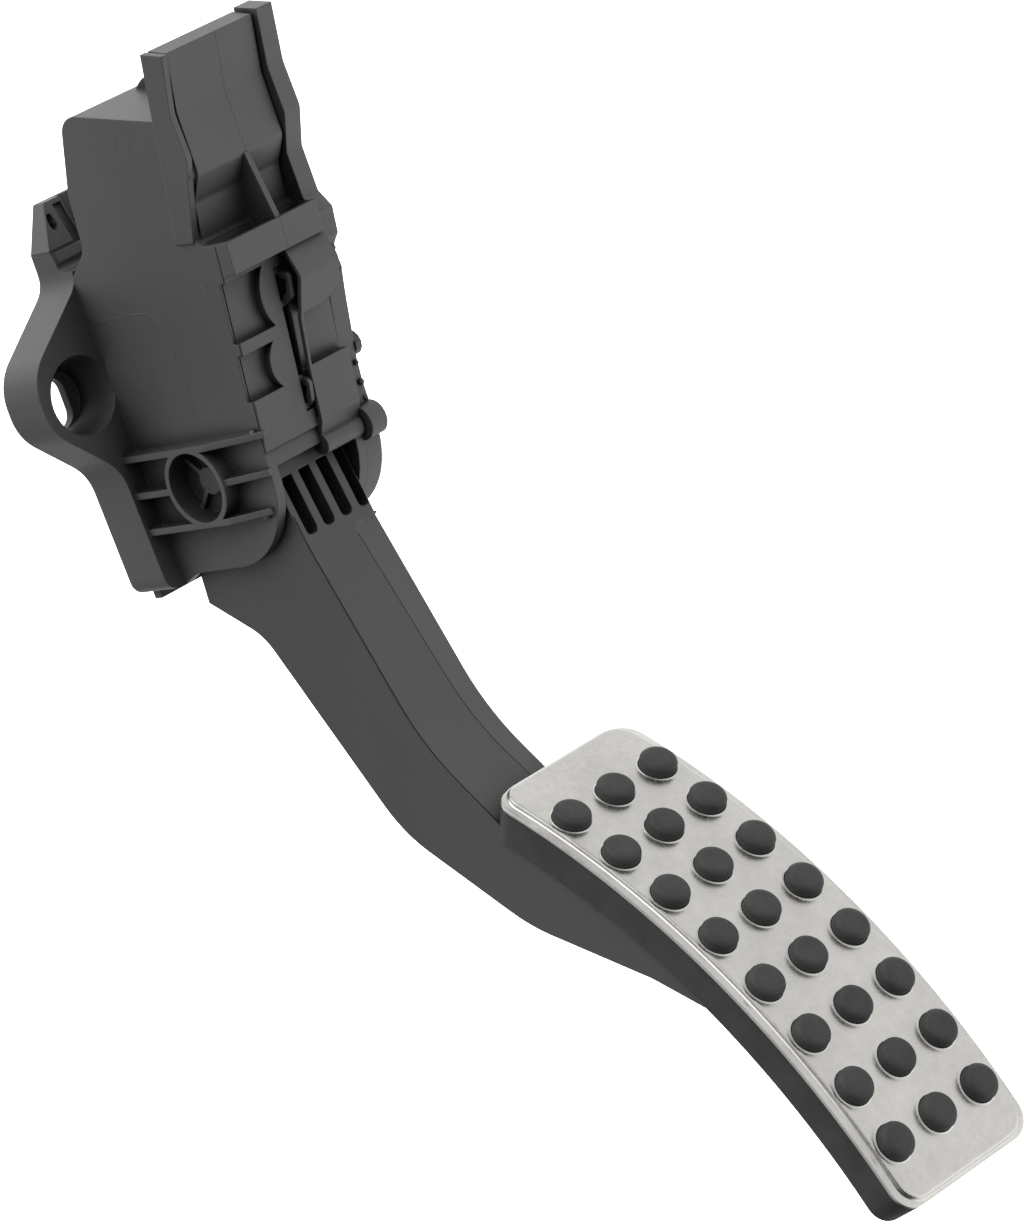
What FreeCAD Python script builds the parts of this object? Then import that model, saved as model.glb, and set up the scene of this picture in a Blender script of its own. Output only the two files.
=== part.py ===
"""Accelerator pedal for a car: a sprung arm with a studded tread pad, hung in a moulded sensor housing.

Millimetres. X to the driver's right, -Y towards the driver, Z up. The mounting face is the plane
Y = 0, the two mounting slots are centred near Z = 0, and X = 0 is the housing's moulded parting plane.
"""
import FreeCAD
import Part

import math
import os

V = FreeCAD.Vector
X_AXIS = V(1, 0, 0)

# Housing
HOUSING_LEFT = -18.5        # outer face of the left wall
HOUSING_RIGHT = 19.0        # outer face of the sensor cover
COVER_JOINT = 13.6          # plane where the sensor cover meets the right shell
WALL = 2.8
EDGE_WALL = 1.1             # the right half's front wall, thinned where it stands over the parting gap
PARTING = 0.0
FLANGE_DEPTH = 13.5
FLANGE_BOTTOM = -54.3
BACK_TOP = 27.0
BACK_PLATE_BOTTOM = -57.0
NOSE_RADIUS = 23.0
PIVOT_Y = -36.5
PIVOT_Z = -28.9
PANEL_STEP = 1.3            # the left front panel stands this far out from the nose
WINDOWS = ((19.0, 3.8, -6.0), (0.6, -11.0, -8.0))      # top, bottom and right edge of each front window
WINDOW_DEPTH = 2.4
WINDOW_WALL = 2.2
WINDOW_CURVE = 2.6          # hollow of a window's right edge
GAP_WIDTH = 2.6             # slot between the left panel and the parting plane
GAP_TOP = 17.0
GAP_BOTTOM = -19.5
LOOPS = ((16.6, 7.2, 3.2), (-10.5, -19.0, 1.6))        # top, bottom and stand of each snap loop
RECESS_WALL = 1.6           # wall behind the sunk rectangle of the right half's front
JOINT_GROOVE = 0.4          # width of the groove between that rectangle and the sensor cover
JOINT_GROOVE_DEPTH = 1.0
LOOP_THICKNESS = 1.2
LOOP_BAND = 1.4
LOOP_TAPER = 1.6
SHELF = 2.4                 # thickness of the inner shelves
SHELF_LEVEL = -23.2         # underside of the shelf over the rest bumper

# Mounting ears
EAR_SPACING = 56.0
SLOT_Z = -1.0
SLOT_WIDTH = 7.8
SLOT_LENGTH = 13.0
EAR_FLOOR = 2.5
BOWL_RIM_RADIUS = 10.0
BOWL_FLOOR_RADIUS = 7.6
GUIDE_HOLE_RADIUS = 2.25
GUIDE_HOLE_X = 12.6
GUIDE_HOLE_Z = 40.9
FRAME_STEP = 0.9            # depth of the stepped frame beside and below each guide hole
FRAME_WIDTH = 2.8

# Pivot
SHAFT_RADIUS = 4.0
SHAFT_SLACK = 0.04
BUSH_WALL = 1.2
BUSH_LENGTH = 8.0
RING_OUTER = 10.5
RING_INNER = 9.1
RING_STAND = 5.0
HUB_DISC_RADIUS = 3.6
SPOKE = 1.2
BRACE_ENDS = (-63.0, -60.0, -56.0)                     # where the braces past the ring run out, top to bottom
INNER_BOSS_RADIUS = 6.5
INNER_BOSS_LENGTH = 3.5
RIB_THICKNESS = 1.7

# Arm
ARM_SIDE_GAP = 0.7
ARM_WALL = 2.8
ARM_BEVEL = 1.5             # how far the right part of the front falls back
CREASE_X = -0.8             # where the crease plane meets Z = 0
CREASE_LEAN = 0.037         # how far the crease moves right for each unit down
HUB_TUBE_RADIUS = 10.5
ARM_RIB = 1.8
LEVER_TOP = -17.0
SLOT_COUNT = 4
SLOT_PITCH = 6.2
GRILLE_SLOT_WIDTH = 3.8
GRILLE_MARGIN = 2.0
GRILLE_TOP = -32.6
GRILLE_BOTTOM = -47.9
GRILLE_CORNER = 1.5
GRILLE_CHAMFER = 1.4
STOP_GAP = 0.3
BUMPER_LEFT = -9.5
BUMPER_WIDTH = 14.0
BUMPER_DEPTH = 4.0
REST_BUMPER_DEPTH = 5.7
HEEL_BUMPER_BOTTOM = -56.0
HEEL_BUMPER_HEIGHT = 6.5

# Pad
PAD_X = 8.0                 # middle of the rubber's top face
PAD_Y = -146.46
PAD_Z = -168.81
PAD_TILT = 38.4             # degrees that the middle of the pad faces upwards
PAD_RADIUS = 217.0          # curvature of the rubber's top face
PAD_LENGTH = 147.7          # along the curve
PAD_THICKNESS = 10.5
RUBBER_SKIN = 3.5
RUBBER_SKIRT = 2.0
PAD_HALF_WIDTH = 24.0
PAD_CORNER = 6.0
SHEET = 0.8
TREAD_STEP = 1.2
TREAD_OVERHANG = 0.65
TREAD_MARGIN = 2.45
STUD_ROWS = 8
STUD_COLUMNS = 3
COLUMN_PITCH = 16.0
STUD_RADIUS = 4.75
STUD_STRIP = 10.6           # the pad is flat for this length under each row of studs
STUD_HEIGHT = 5.0
STUD_EDGE = 0.9
STUD_ROOT = 0.5
FIRST_ROW = 18.6            # from the pad's top edge to the first row of studs
LAST_ROW = 17.1             # from the last row to the pad's bottom edge
STUD_CLEARANCE = 0.1

# Springs
SPRING_X = -2.5
SPRING_TOP = 21.0
OUTER_SPRING_RADIUS = 5.4
OUTER_WIRE = 1.5
OUTER_TURNS = 6
INNER_SPRING_RADIUS = 3.2
INNER_WIRE = 1.0
INNER_TURNS = 7
COIL_STEPS = 8              # straight steps in one turn of a spring
SEAT_THICKNESS = 1.6
SEAT_RADIUS = 7.0
SEAT_SPIGOT = 3.0

# Sensor
COVER_WALL = 2.0
BOARD_THICKNESS = 1.6
BOARD_X = 14.2
CHIP_THICKNESS = 1.0
CARRIER_OUTER = 10.4
CARRIER_INNER = 6.0
CARRIER_DEPTH = 2.6
MAGNET_DEPTH = 1.2
SOCKET_Y = -45.5
SOCKET_Z = 59.5
SOCKET_LENGTH = 22.0
SOCKET_HEIGHT = 19.0
SOCKET_WALL = 1.6
SOCKET_END = 30.0
PIN_COUNT = 6
PIN_PITCH = 2.6
PIN_SIZE = 0.7
PIN_END = 26.0
PIN_DROP = 2.5             # the pins lie this far below the middle of the socket
POST_RADIUS = 2.0
POST_PLACES = ((-47.0, -35.0), (-46.0, 49.0))
KNUCKLE_RADIUS = 4.4
ROLLER_RADIUS = 2.8

# Fasteners
SCREW_PLACES = ((-59.0, 42.0), (-31.5, 44.5), (-59.0, -10.0))
SCREW_RADIUS = 1.5
SCREW_HEAD_RADIUS = 3.2
SCREW_HEAD_DEPTH = 2.0
SCREW_BOSS_RADIUS = 3.4
SCREW_SLACK = 0.15
SCREW_DEPTH = 10.0          # how far past the parting plane a screw reaches
ROUND_SIDES = 12            # sides of the studs, screws and small posts, which stand for round ones

NOSE_FRONT = PIVOT_Y - NOSE_RADIUS
NOSE_BOTTOM = PIVOT_Z - NOSE_RADIUS
INNER_LEFT = HOUSING_LEFT + WALL
INNER_RIGHT = COVER_JOINT - WALL
COVER_FLOOR = HOUSING_RIGHT - COVER_WALL
RING_FACE = HOUSING_LEFT - RING_STAND
SPRING_Y = -FLANGE_DEPTH - SEAT_RADIUS
HEEL_REAR = -FLANGE_DEPTH + 0.1
HUB_TOP = PIVOT_Z + 1.4
BUSH_RADIUS = SHAFT_RADIUS + SHAFT_SLACK + BUSH_WALL
ROW_PITCH = (PAD_LENGTH - FIRST_ROW - LAST_ROW) / (STUD_ROWS - 1)
SOCKET_ROOT = COVER_JOINT + 2.0
ARM_LEFT = HOUSING_LEFT + WALL + ARM_SIDE_GAP
ARM_RIGHT = COVER_JOINT - WALL - ARM_SIDE_GAP - 0.1
PIVOT = V(0, PIVOT_Y, PIVOT_Z)
LEFT_BUSH_FACE = INNER_LEFT + INNER_BOSS_LENGTH + 0.3


def pad_yz(depth, angle):
    """The (y, z) of a point this far under the rubber's top face, at this angle above the horizontal."""
    tilt = math.radians(PAD_TILT)
    centre_y = PAD_Y + PAD_RADIUS * math.cos(tilt)
    centre_z = PAD_Z - PAD_RADIUS * math.sin(tilt)
    turn = math.radians(angle)
    radius = PAD_RADIUS - depth
    return centre_y - radius * math.cos(turn), centre_z + radius * math.sin(turn)


# The housing seen from the left as (y, z, corner radius): back, bottom and nose, then the roof
HOUSING_BACK = (
    (-FLANGE_DEPTH, BACK_TOP),
    (-FLANGE_DEPTH, FLANGE_BOTTOM),
    (-19.0, NOSE_BOTTOM, 6.0),
    (NOSE_FRONT, NOSE_BOTTOM, NOSE_RADIUS),
)
PANEL_LOW = (NOSE_FRONT - PANEL_STEP, -24.0)
PANEL_HIGH = (-68.8, 20.7)
LEFT_FRONT = ((NOSE_FRONT, -28.4), (NOSE_FRONT, -24.6), PANEL_LOW, PANEL_HIGH, (-68.8, 26.0, 3.0))
RIGHT_FRONT = (
    (NOSE_FRONT, -28.4),
    (-62.7, -22.9, 2.0),
    (-65.2, -9.5, 20.0),
    (-68.3, 2.6, 12.0),
    (-73.9, 13.4, 4.0),
    (-71.4, 21.0, 2.0),
    (-68.8, 26.0, 3.0),
)
HOUSING_TOP = (
    (-63.2, 30.5),
    (-64.4, 61.0, 1.0),
    (-31.5, 67.4, 6.0),
    (-23.7, 48.0, 8.0),
    (-21.7, 33.5, 5.0),
)
LIP = ((-66.0, 20.7), (-73.1, 20.7), (-73.8, 28.7), (-63.0, 28.9), (-62.5, 24.0))
LIP_RIGHT = 12.9
LIP_POCKET = ((-71.9, 22.9), (-71.9, 40), (-66.0, 40), (-64.4, 28.9), (-64.8, 22.9))
TONGUE = (
    (-61.5, 28.0),
    (-63.4, 28.8),
    (-65.6, 39.3, 2.0),
    (-70.7, 46.0, 3.0),
    (-71.1, 61.8, 8.0),
    (-74.9, 76.2),
    (-68.7, 77.7),
    (-64.4, 61.3),
    (-61.5, 59.0),
)
TONGUE_GROOVE = 0.8         # width and depth of the groove along each side of the tongue
TONGUE_BAND = (
    (-63.0, 30.2),
    (-68.2, 43.1, 3.0),
    (-71.5, 50.4, 5.0),
    (-71.3, 61.8, 8.0),
    (-76.0, 76.1),
    (-68.7, 77.7),
    (-56.4, 30.6),
)
BAND_WIDTH = 1.8
BAND_STAND = 0.6
WEB_HALF = 0.8
WEB = ((-63.4, 28.8), (-73.4, 28.8), (-70.7, 46.0), (-65.6, 39.3))
COVER_FRONT = (
    (-59.8, -19.8),
    (-60.6, -14.2),
    (-64.6, 1.1),
    (-67.3, 10.2, 3.0),
    (-67.0, 15.0, 3.0),
    (-70.3, 18.2),
    (-71.7, 25.0),
    (-68.7, 29.4),
    (-68.8, 41.1, 3.0),
    (-73.2, 50.8, 4.0),
    (-73.0, 62.4, 6.0),
    (-76.3, 77.0),
    (-68.7, 78.5),
    (-64.4, 61.0),
)
COVER_POCKET = (
    (-24.5, 22.0, 2.0),
    (-24.5, -44.0, 6.0),
    (-49.5, -44.0, 8.0),
    (-54.0, -20.0, 4.0),
    (-54.0, 44.0, 4.0),
    (-56.0, 60.0, 3.0),
    (-36.0, 62.5, 3.0),
    (-36.5, 30.0, 3.0),
)
BOARD = (
    (-26.0, -16.0),
    (-26.0, -42.0, 4.0),
    (-47.5, -42.0, 4.0),
    (-52.5, -20.0),
    (-52.5, 58.8),
    (-37.5, 58.8),
    (-38.0, -12.0),
)
# The sunk rectangle in the right half's front: seen from the front as (x, z), and its floor as (y, z)
RECESS = ((0.8, -9.0), (14.6, -9.0), (14.6, 9.0), (12.4, 6.6, 2.0), (8.0, 4.4, 4.0), (0.8, 4.0))
RECESS_PLANE = ((-61.0, -30.0), (-62.3, -9.5), (-65.6, 4.0), (-66.4, 9.0))

# The mounting flange seen from the front as (x, z, corner radius), left half
FLANGE_LEFT = (
    (-11.1, 45.8),
    (-17.4, 34.6, 1.5),
    (-17.6, 25.9, 7.0),
    (-41.2, 9.3, 13.0),
    (-41.2, -4.9, 13.0),
    (-24.9, -21.0, 12.0),
    (-24.2, FLANGE_BOTTOM, 4.0),
)
SLOPE = ((-30, 28.0), (-8.4, 29.0, 2.0), (-8.4, 31.2), (-4.0, 45.9), (-4.0, 60), (-30, 60))

# The arm seen from the left: slotted plate and front edge downwards, and rear edge upwards
GRILLE_FRONT = ((-54.9, HUB_TOP), (-55.3, -31.5), (-58.7, -50.4))
ARM_FRONT = (
    (-58.95, -51.4),
    (-73.5, -104.5, 60.0),
    pad_yz(7.0, 56.5),
)
ARM_REAR = (
    pad_yz(7.0, 38.3),
    pad_yz(10.8, 37.8),
    pad_yz(16.8, 42.45) + (20.0,),
    (-88.5, -153.0, 50.0),
    (-55.3, -126.2, 35.0),
    (-30.8, -71.3, 15.0),
    (HEEL_REAR - 1.7, -61.0),
    (HEEL_REAR - 2.5, -53.3),
    (HEEL_REAR, LEVER_TOP),
)
ARM_TOP = ((-46.0, LEVER_TOP, 4.0), (-49.5, HUB_TOP))

# What is hollow inside the arm, seen from the left, open to the rear
ARM_HOLLOW = (
    (-52.1, -33.5),
    (-55.7, -50.6),
    (-56.1, -53.4),
    (-70.5, -105.4),
    (-87.5, -129.0),
    (-116.0, -156.5),
    (-122.0, -185.0),
    (-70.0, -160.0),
    (-40.0, -125.0),
    (-18.0, -78.0),
    (-5.0, -66.0),
    (-5.0, LEVER_TOP - 3.4),
    (-44.0, LEVER_TOP - 3.4),
    (-50.0, HUB_TOP - 3.4),
)
# Cross ribs inside the arm, each from its front end to its rear end
CROSS_RIBS = (
    ((-50.0, -31.5), (-10.0, -56.5)),
    ((-60.0, -66.0), (-22.0, -66.5)),
    ((-66.0, -84.0), (-30.0, -76.0)),
    ((-71.0, -101.0), (-38.0, -97.0)),
    ((-80.0, -117.0), (-48.0, -122.0)),
    ((-93.0, -131.0), (-70.0, -150.0)),
    ((-110.0, -150.0), (-99.0, -166.0)),
)


def place(axis, level, a, b):
    """The point at (a, b) of the plane that cuts the axis at the given level."""
    return {"X": V(level, a, b), "Y": V(a, level, b), "Z": V(a, b, level)}[axis]


def tangent_points(before, corner, after, radius):
    """Where a rounding of this radius leaves and rejoins the two edges at a corner, and its middle."""
    back = (before - corner).normalize()
    on = (after - corner).normalize()
    half = back.getAngle(on) / 2
    reach = radius / math.tan(half)
    middle = corner + (back + on).normalize() * (radius / math.sin(half) - radius)
    return corner + back * reach, middle, corner + on * reach


def outline(points, axis="X", level=0.0, lean=0.0):
    """A closed wire through (a, b) or (a, b, corner radius) points on a plane across the axis.

    A plane that leans meets the axis at the level, and moves along it by that share of the drop below b = 0.
    """
    corners = [place(axis, level - lean * p[1], p[0], p[1]) for p in points]
    stops = []
    for i, point in enumerate(points):
        if len(point) == 3 and point[2] > 0:
            stops.append(tangent_points(corners[i - 1], corners[i], corners[(i + 1) % len(points)], point[2]))
        else:
            stops.append((corners[i],))
    edges = []
    for i, stop in enumerate(stops):
        if len(stop) == 3:
            edges.append(Part.Arc(*stop).toShape())
        following = stops[(i + 1) % len(stops)][0]
        if stop[-1].distanceToPoint(following) > 1e-6:
            edges.append(Part.LineSegment(stop[-1], following).toShape())
    return Part.Wire(edges)


def prism(points, start, end, axis="X"):
    """An outline carried along the axis from one level to another."""
    face = Part.Face(outline(points, axis, start))
    return face.extrude(place(axis, end - start, 0, 0))


def inset(points, distance):
    """The same outline moved inwards by a distance, its corner radii to match."""
    area = sum(p[0] * q[1] - q[0] * p[1] for p, q in zip(points, points[1:] + points[:1]))
    side = 1 if area > 0 else -1
    moved = []
    for i, point in enumerate(points):
        before, after = points[i - 1], points[(i + 1) % len(points)]
        d1 = V(point[0] - before[0], point[1] - before[1], 0).normalize()
        d2 = V(after[0] - point[0], after[1] - point[1], 0).normalize()
        n1 = V(-d1.y, d1.x, 0) * side
        n2 = V(-d2.y, d2.x, 0) * side
        bisector = (n1 + n2) * (distance / (1 + n1.dot(n2)))
        turn = (d1.x * d2.y - d1.y * d2.x) * side
        radius = point[2] if len(point) == 3 else 0.0
        if radius > 0:
            radius = max(radius - distance, 0.0) if turn > 0 else radius + distance
        moved.append((point[0] + bisector.x, point[1] + bisector.y, radius))
    return moved


def box(x0, x1, y0, y1, z0, z1):
    return Part.makeBox(x1 - x0, y1 - y0, z1 - z0, V(x0, y0, z0))


def rod(radius, x0, x1, y=PIVOT_Y, z=PIVOT_Z):
    """A cylinder along X."""
    return Part.makeCylinder(radius, x1 - x0, V(x0, y, z), X_AXIS)


def fused(shapes):
    first, rest = shapes[0], shapes[1:]
    return first.fuse(rest).removeSplitter() if rest else first


def post(radius, low, high):
    """An upright many-sided post about Z that stands for a round one."""
    turns = [2 * math.pi * i / ROUND_SIDES for i in range(ROUND_SIDES + 1)]
    corners = [V(radius * math.cos(t), radius * math.sin(t), low) for t in turns]
    return Part.Face(Part.makePolygon(corners)).extrude(V(0, 0, high - low))


def rods(radius, x0, x1, places):
    """Many-sided rods along X at (y, z) places."""
    lying = post(radius, x0, x1)
    lying.rotate(V(0, 0, 0), V(0, 1, 0), 90)
    return [lying.translated(V(0, y, z)) for y, z in places]


def chamber(front, x0, x1):
    """The hollow between the walls: it reaches back into the flange and down through the mouth."""
    case = list(HOUSING_BACK) + list(front) + list(HOUSING_TOP)
    hollow = prism(inset(case, WALL), x0, x1)
    inner_back = box(x0, x1, -FLANGE_DEPTH - WALL - 1, -WALL, BACK_PLATE_BOTTOM - 1, BACK_TOP - WALL)
    mouth = box(x0, x1, -80, -WALL, -70, front[0][1])
    return fused([hollow, inner_back, mouth])


def ear_bowl(side):
    """The conical counterbore round one mounting slot."""
    middle = V(side * EAR_SPACING / 2, -FLANGE_DEPTH, 0)
    depth = FLANGE_DEPTH - EAR_FLOOR
    return Part.makeCone(BOWL_RIM_RADIUS, BOWL_FLOOR_RADIUS, depth, middle, V(0, 1, 0))


def mounting_slot(side):
    x = side * EAR_SPACING / 2
    r = SLOT_WIDTH / 2
    z0 = SLOT_Z - SLOT_LENGTH / 2
    z1 = SLOT_Z + SLOT_LENGTH / 2
    round_end = r * 0.9999
    corners = [(x - r, z0, round_end), (x + r, z0, round_end), (x + r, z1, round_end), (x - r, z1, round_end)]
    return prism(corners, -FLANGE_DEPTH, 1, "Y")


def guide_frame(side):
    """The step beside and below a guide hole, cut a little deeper than the sloping face."""
    deeper = [(p[0] + FRAME_STEP,) + tuple(p[1:]) for p in SLOPE]
    inner = GUIDE_HOLE_X - GUIDE_HOLE_RADIUS - 1.4
    outer = GUIDE_HOLE_X + GUIDE_HOLE_RADIUS + 1.2
    x0, x1 = sorted((side * (inner - FRAME_WIDTH), side * inner))
    x2, x3 = sorted((side * (inner - FRAME_WIDTH), side * outer))
    beside = box(x0, x1, -20, 0, SLOPE[2][1], 44.5)
    below = box(x2, x3, -20, 0, SLOPE[2][1], SLOPE[2][1] + FRAME_WIDTH)
    return prism(deeper, -45, 45).common(beside.fuse(below))


def flange():
    """The mounting plate with both ears, thinner above the bolts, and hollow between the housing's walls."""
    right = [(-p[0],) + tuple(p[1:]) for p in reversed(FLANGE_LEFT)]
    plate = prism(list(FLANGE_LEFT) + right, -FLANGE_DEPTH, 0, "Y")
    cuts = [prism(SLOPE, -45, 45), box(-5.8, 5.8, -9, -2.2, 30.5, 46)]
    for side in (-1, 1):
        hole = V(side * GUIDE_HOLE_X, -20, GUIDE_HOLE_Z)
        cuts += [ear_bowl(side), mounting_slot(side), guide_frame(side)]
        cuts.append(Part.makeCylinder(GUIDE_HOLE_RADIUS, 19, hole, V(0, 1, 0)))
    for cut in cuts:
        plate = plate.cut(cut)
    return plate


def pivot_rib(offset, front_end):
    """A brace from the flange past the ring, tapering to nothing on the wall at its front end."""
    z = PIVOT_Z + offset - RIB_THICKNESS / 2
    root = HOUSING_LEFT + 0.5
    back = -FLANGE_DEPTH + 1
    wedge = Part.makePolygon([V(root, back, z), V(RING_FACE, back, z), V(RING_FACE, PIVOT_Y - 8, z),
                              V(HOUSING_LEFT - 0.9, front_end, z), V(root, front_end, z), V(root, back, z)])
    return Part.Face(wedge).extrude(V(0, 0, RIB_THICKNESS))


def pivot_ring():
    """The ring boss on the left wall and the three ribs that brace it."""
    reach = RING_OUTER - RIB_THICKNESS / 2
    ribs = [pivot_rib(offset, end) for offset, end in zip((reach, 0.0, -reach), BRACE_ENDS)]
    return fused([rod(RING_OUTER, RING_FACE, HOUSING_LEFT + 0.5)] + ribs)


def pivot_recess():
    """What is hollowed out of the ring: the space before the hub, and four quarters between the spokes."""
    front = rod(RING_INNER, RING_FACE - 1, HOUSING_LEFT)
    deep = rod(RING_INNER, HOUSING_LEFT - 0.5, INNER_LEFT - 1.1)
    keep = [rod(HUB_DISC_RADIUS, HOUSING_LEFT - 1, INNER_LEFT)]
    for turn in (45, 135):
        spoke = box(HOUSING_LEFT, INNER_LEFT, PIVOT_Y - RING_OUTER, PIVOT_Y + RING_OUTER,
                    PIVOT_Z - SPOKE / 2, PIVOT_Z + SPOKE / 2)
        spoke.rotate(PIVOT, X_AXIS, turn)
        keep.append(spoke)
    return front.fuse(deep.cut(keep))


def bumper_shelf(x0, x1):
    """The shelf that carries the rest bumper, inside the front wall."""
    return box(x0, x1, NOSE_FRONT - 0.5, NOSE_FRONT + 10, SHELF_LEVEL, SHELF_LEVEL + SHELF)


def spring_shelf(x0, x1):
    """The shelf above the springs."""
    level = SPRING_TOP + SEAT_THICKNESS
    return box(x0, x1, SPRING_Y - 10, -FLANGE_DEPTH, level, level + SHELF)


def panel_y(z):
    """The left front panel's face at this height."""
    share = (z - PANEL_LOW[1]) / (PANEL_HIGH[1] - PANEL_LOW[1])
    return PANEL_LOW[0] + share * (PANEL_HIGH[0] - PANEL_LOW[0])


def panel_layer(low, high, start, depth, x0, x1):
    """A slab that follows the left front panel, from start to start + depth behind its face."""
    corners = [(panel_y(low) + start, low), (panel_y(high) + start, high),
               (panel_y(high) + start + depth, high), (panel_y(low) + start + depth, low)]
    return prism(corners, x0, x1)


def front_window(top, bottom, right):
    """A recess in the left front panel, open at the side, with a hollow right edge."""
    left = HOUSING_LEFT - 1
    half_way = V(right - WINDOW_CURVE, 0, (top + bottom) / 2)
    across = Part.Wire([
        Part.LineSegment(V(left, 0, top), V(right, 0, top)).toShape(),
        Part.Arc(V(right, 0, top), half_way, V(right, 0, bottom)).toShape(),
        Part.LineSegment(V(right, 0, bottom), V(left, 0, bottom)).toShape(),
        Part.LineSegment(V(left, 0, bottom), V(left, 0, top)).toShape(),
    ])
    block = Part.Face(across).extrude(V(0, -100, 0))
    return block.common(panel_layer(bottom - 1, top + 1, -9, 9 + WINDOW_DEPTH, left, right + 1))


def snap_loop(top, bottom, stand):
    """A loop that stands out of the slot beside the parting plane, where the right half hooks on."""
    root = panel_y((top + bottom) / 2) + LOOP_BAND
    high = (panel_y(top) - stand, top - LOOP_TAPER, LOOP_BAND)
    low = (panel_y(bottom) - stand, bottom + LOOP_TAPER, LOOP_BAND)
    outer = ((root, top), high, low, (root, bottom))
    inner = ((root + 1, top - LOOP_BAND), (high[0] + LOOP_BAND, high[1] - LOOP_BAND),
             (low[0] + LOOP_BAND, low[1] + LOOP_BAND), (root + 1, bottom + LOOP_BAND))
    x0 = PARTING - 0.3 - LOOP_THICKNESS
    loop = prism(outer, x0, x0 + LOOP_THICKNESS).cut(prism(inner, x0 - 1, x0 + LOOP_THICKNESS + 1))
    stubs = [panel_layer(z, z + LOOP_BAND, 0.4, LOOP_BAND, PARTING - GAP_WIDTH - 0.5, x0 + 0.5)
             for z in (bottom, top - LOOP_BAND)]
    return fused([loop] + stubs)


def window_backing():
    """What thickens the left front panel behind its windows."""
    top = max(window[0] for window in WINDOWS) + 1.5
    bottom = min(window[1] for window in WINDOWS) - 2.0
    start = WALL - 0.5
    right = PARTING - GAP_WIDTH - 1.9
    return panel_layer(bottom, top, start, WINDOW_DEPTH + WINDOW_WALL - start, INNER_LEFT - 0.5, right)


def housing_shell():
    """The main moulding: left wall, flange and ears, and the left half of the front, tongue and roof."""
    tongue_left = HOUSING_LEFT - BAND_STAND + BAND_WIDTH
    case = prism(list(HOUSING_BACK) + list(LEFT_FRONT) + list(HOUSING_TOP), HOUSING_LEFT, PARTING)
    case = case.fuse([
        prism(LIP, HOUSING_LEFT, PARTING),
        prism(TONGUE, tongue_left + TONGUE_GROOVE, PARTING),
        prism(inset(TONGUE, TONGUE_GROOVE), HOUSING_LEFT, tongue_left + TONGUE_GROOVE + 0.1),
        prism(TONGUE_BAND, HOUSING_LEFT - BAND_STAND, tongue_left),
        prism(WEB, PARTING - WEB_HALF, PARTING),
        flange(),
        pivot_ring(),
        box(HOUSING_LEFT, COVER_JOINT, -WALL, 0, BACK_PLATE_BOTTOM, BACK_PLATE_BOTTOM + 7),
    ])
    case = case.cut([
        chamber(LEFT_FRONT, INNER_LEFT, PARTING),
        box(PARTING - 1, INNER_RIGHT, -FLANGE_DEPTH - 1, -WALL, -70, BACK_TOP - WALL),
        prism(LIP_POCKET, HOUSING_LEFT + BAND_WIDTH, PARTING - WEB_HALF).cut(prism(TONGUE, -30, 30)),
        pivot_recess(),
    ])
    root = INNER_LEFT - 0.5
    case = case.fuse([
        window_backing(),
        rod(INNER_BOSS_RADIUS, root, INNER_LEFT + INNER_BOSS_LENGTH),
        bumper_shelf(root, PARTING),
        spring_shelf(root, PARTING),
    ] + rods(SCREW_BOSS_RADIUS, root, PARTING, SCREW_PLACES))
    slot = box(PARTING - GAP_WIDTH, PARTING + 1, -90, NOSE_FRONT + 1, GAP_BOTTOM, GAP_TOP)
    case = case.cut([front_window(*window) for window in WINDOWS] + [slot])
    case = case.fuse([snap_loop(*loop) for loop in LOOPS])
    holes = [rod(SHAFT_RADIUS, INNER_LEFT - 0.8, PARTING)]
    holes += rods(SCREW_RADIUS, -SCREW_DEPTH - 2, PARTING + 1, SCREW_PLACES)
    return case.cut(holes).removeSplitter()


def recess_floor(depth):
    """The (y, z) points of the sunk rectangle's floor, or of a face this far behind it."""
    return [(y + depth, z) for y, z in RECESS_PLANE]


def front_recess():
    """The sunk rectangle in the right half's front, its top edge rising beside the sensor cover."""
    above = [(-90, RECESS_PLANE[0][1])] + recess_floor(0.0) + [(-90, 30)]
    return prism(RECESS, -90, -50, "Y").common(prism(above, -1, 30))


def recess_backing():
    """The wall behind the sunk rectangle."""
    section = recess_floor(0.0) + recess_floor(RECESS_WALL)[::-1]
    low, high = RECESS[0][1] - RECESS_WALL, RECESS[3][1] + RECESS_WALL
    band = box(PARTING, INNER_RIGHT + 0.5, -90, -50, low, high)
    return prism(section, PARTING, INNER_RIGHT + 0.5).common(band)


def joint_groove():
    """The groove in the sunk rectangle's floor where it meets the sensor cover."""
    section = recess_floor(-0.5) + recess_floor(JOINT_GROOVE_DEPTH)[::-1]
    band = box(COVER_JOINT - JOINT_GROOVE, COVER_JOINT + 1, -90, -50, RECESS[0][1], RECESS[5][1])
    return prism(section, COVER_JOINT - 1, COVER_JOINT + 1).common(band)


def thin_edge(outer):
    """What is cut away behind the right half's front wall where it stands over the slot."""
    reach = box(PARTING - 1, 5, -90, NOSE_FRONT - 1, GAP_BOTTOM - 2.5, GAP_TOP + 2)
    return prism(inset(outer, EDGE_WALL), PARTING, PARTING + 2.4).common(reach)


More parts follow.
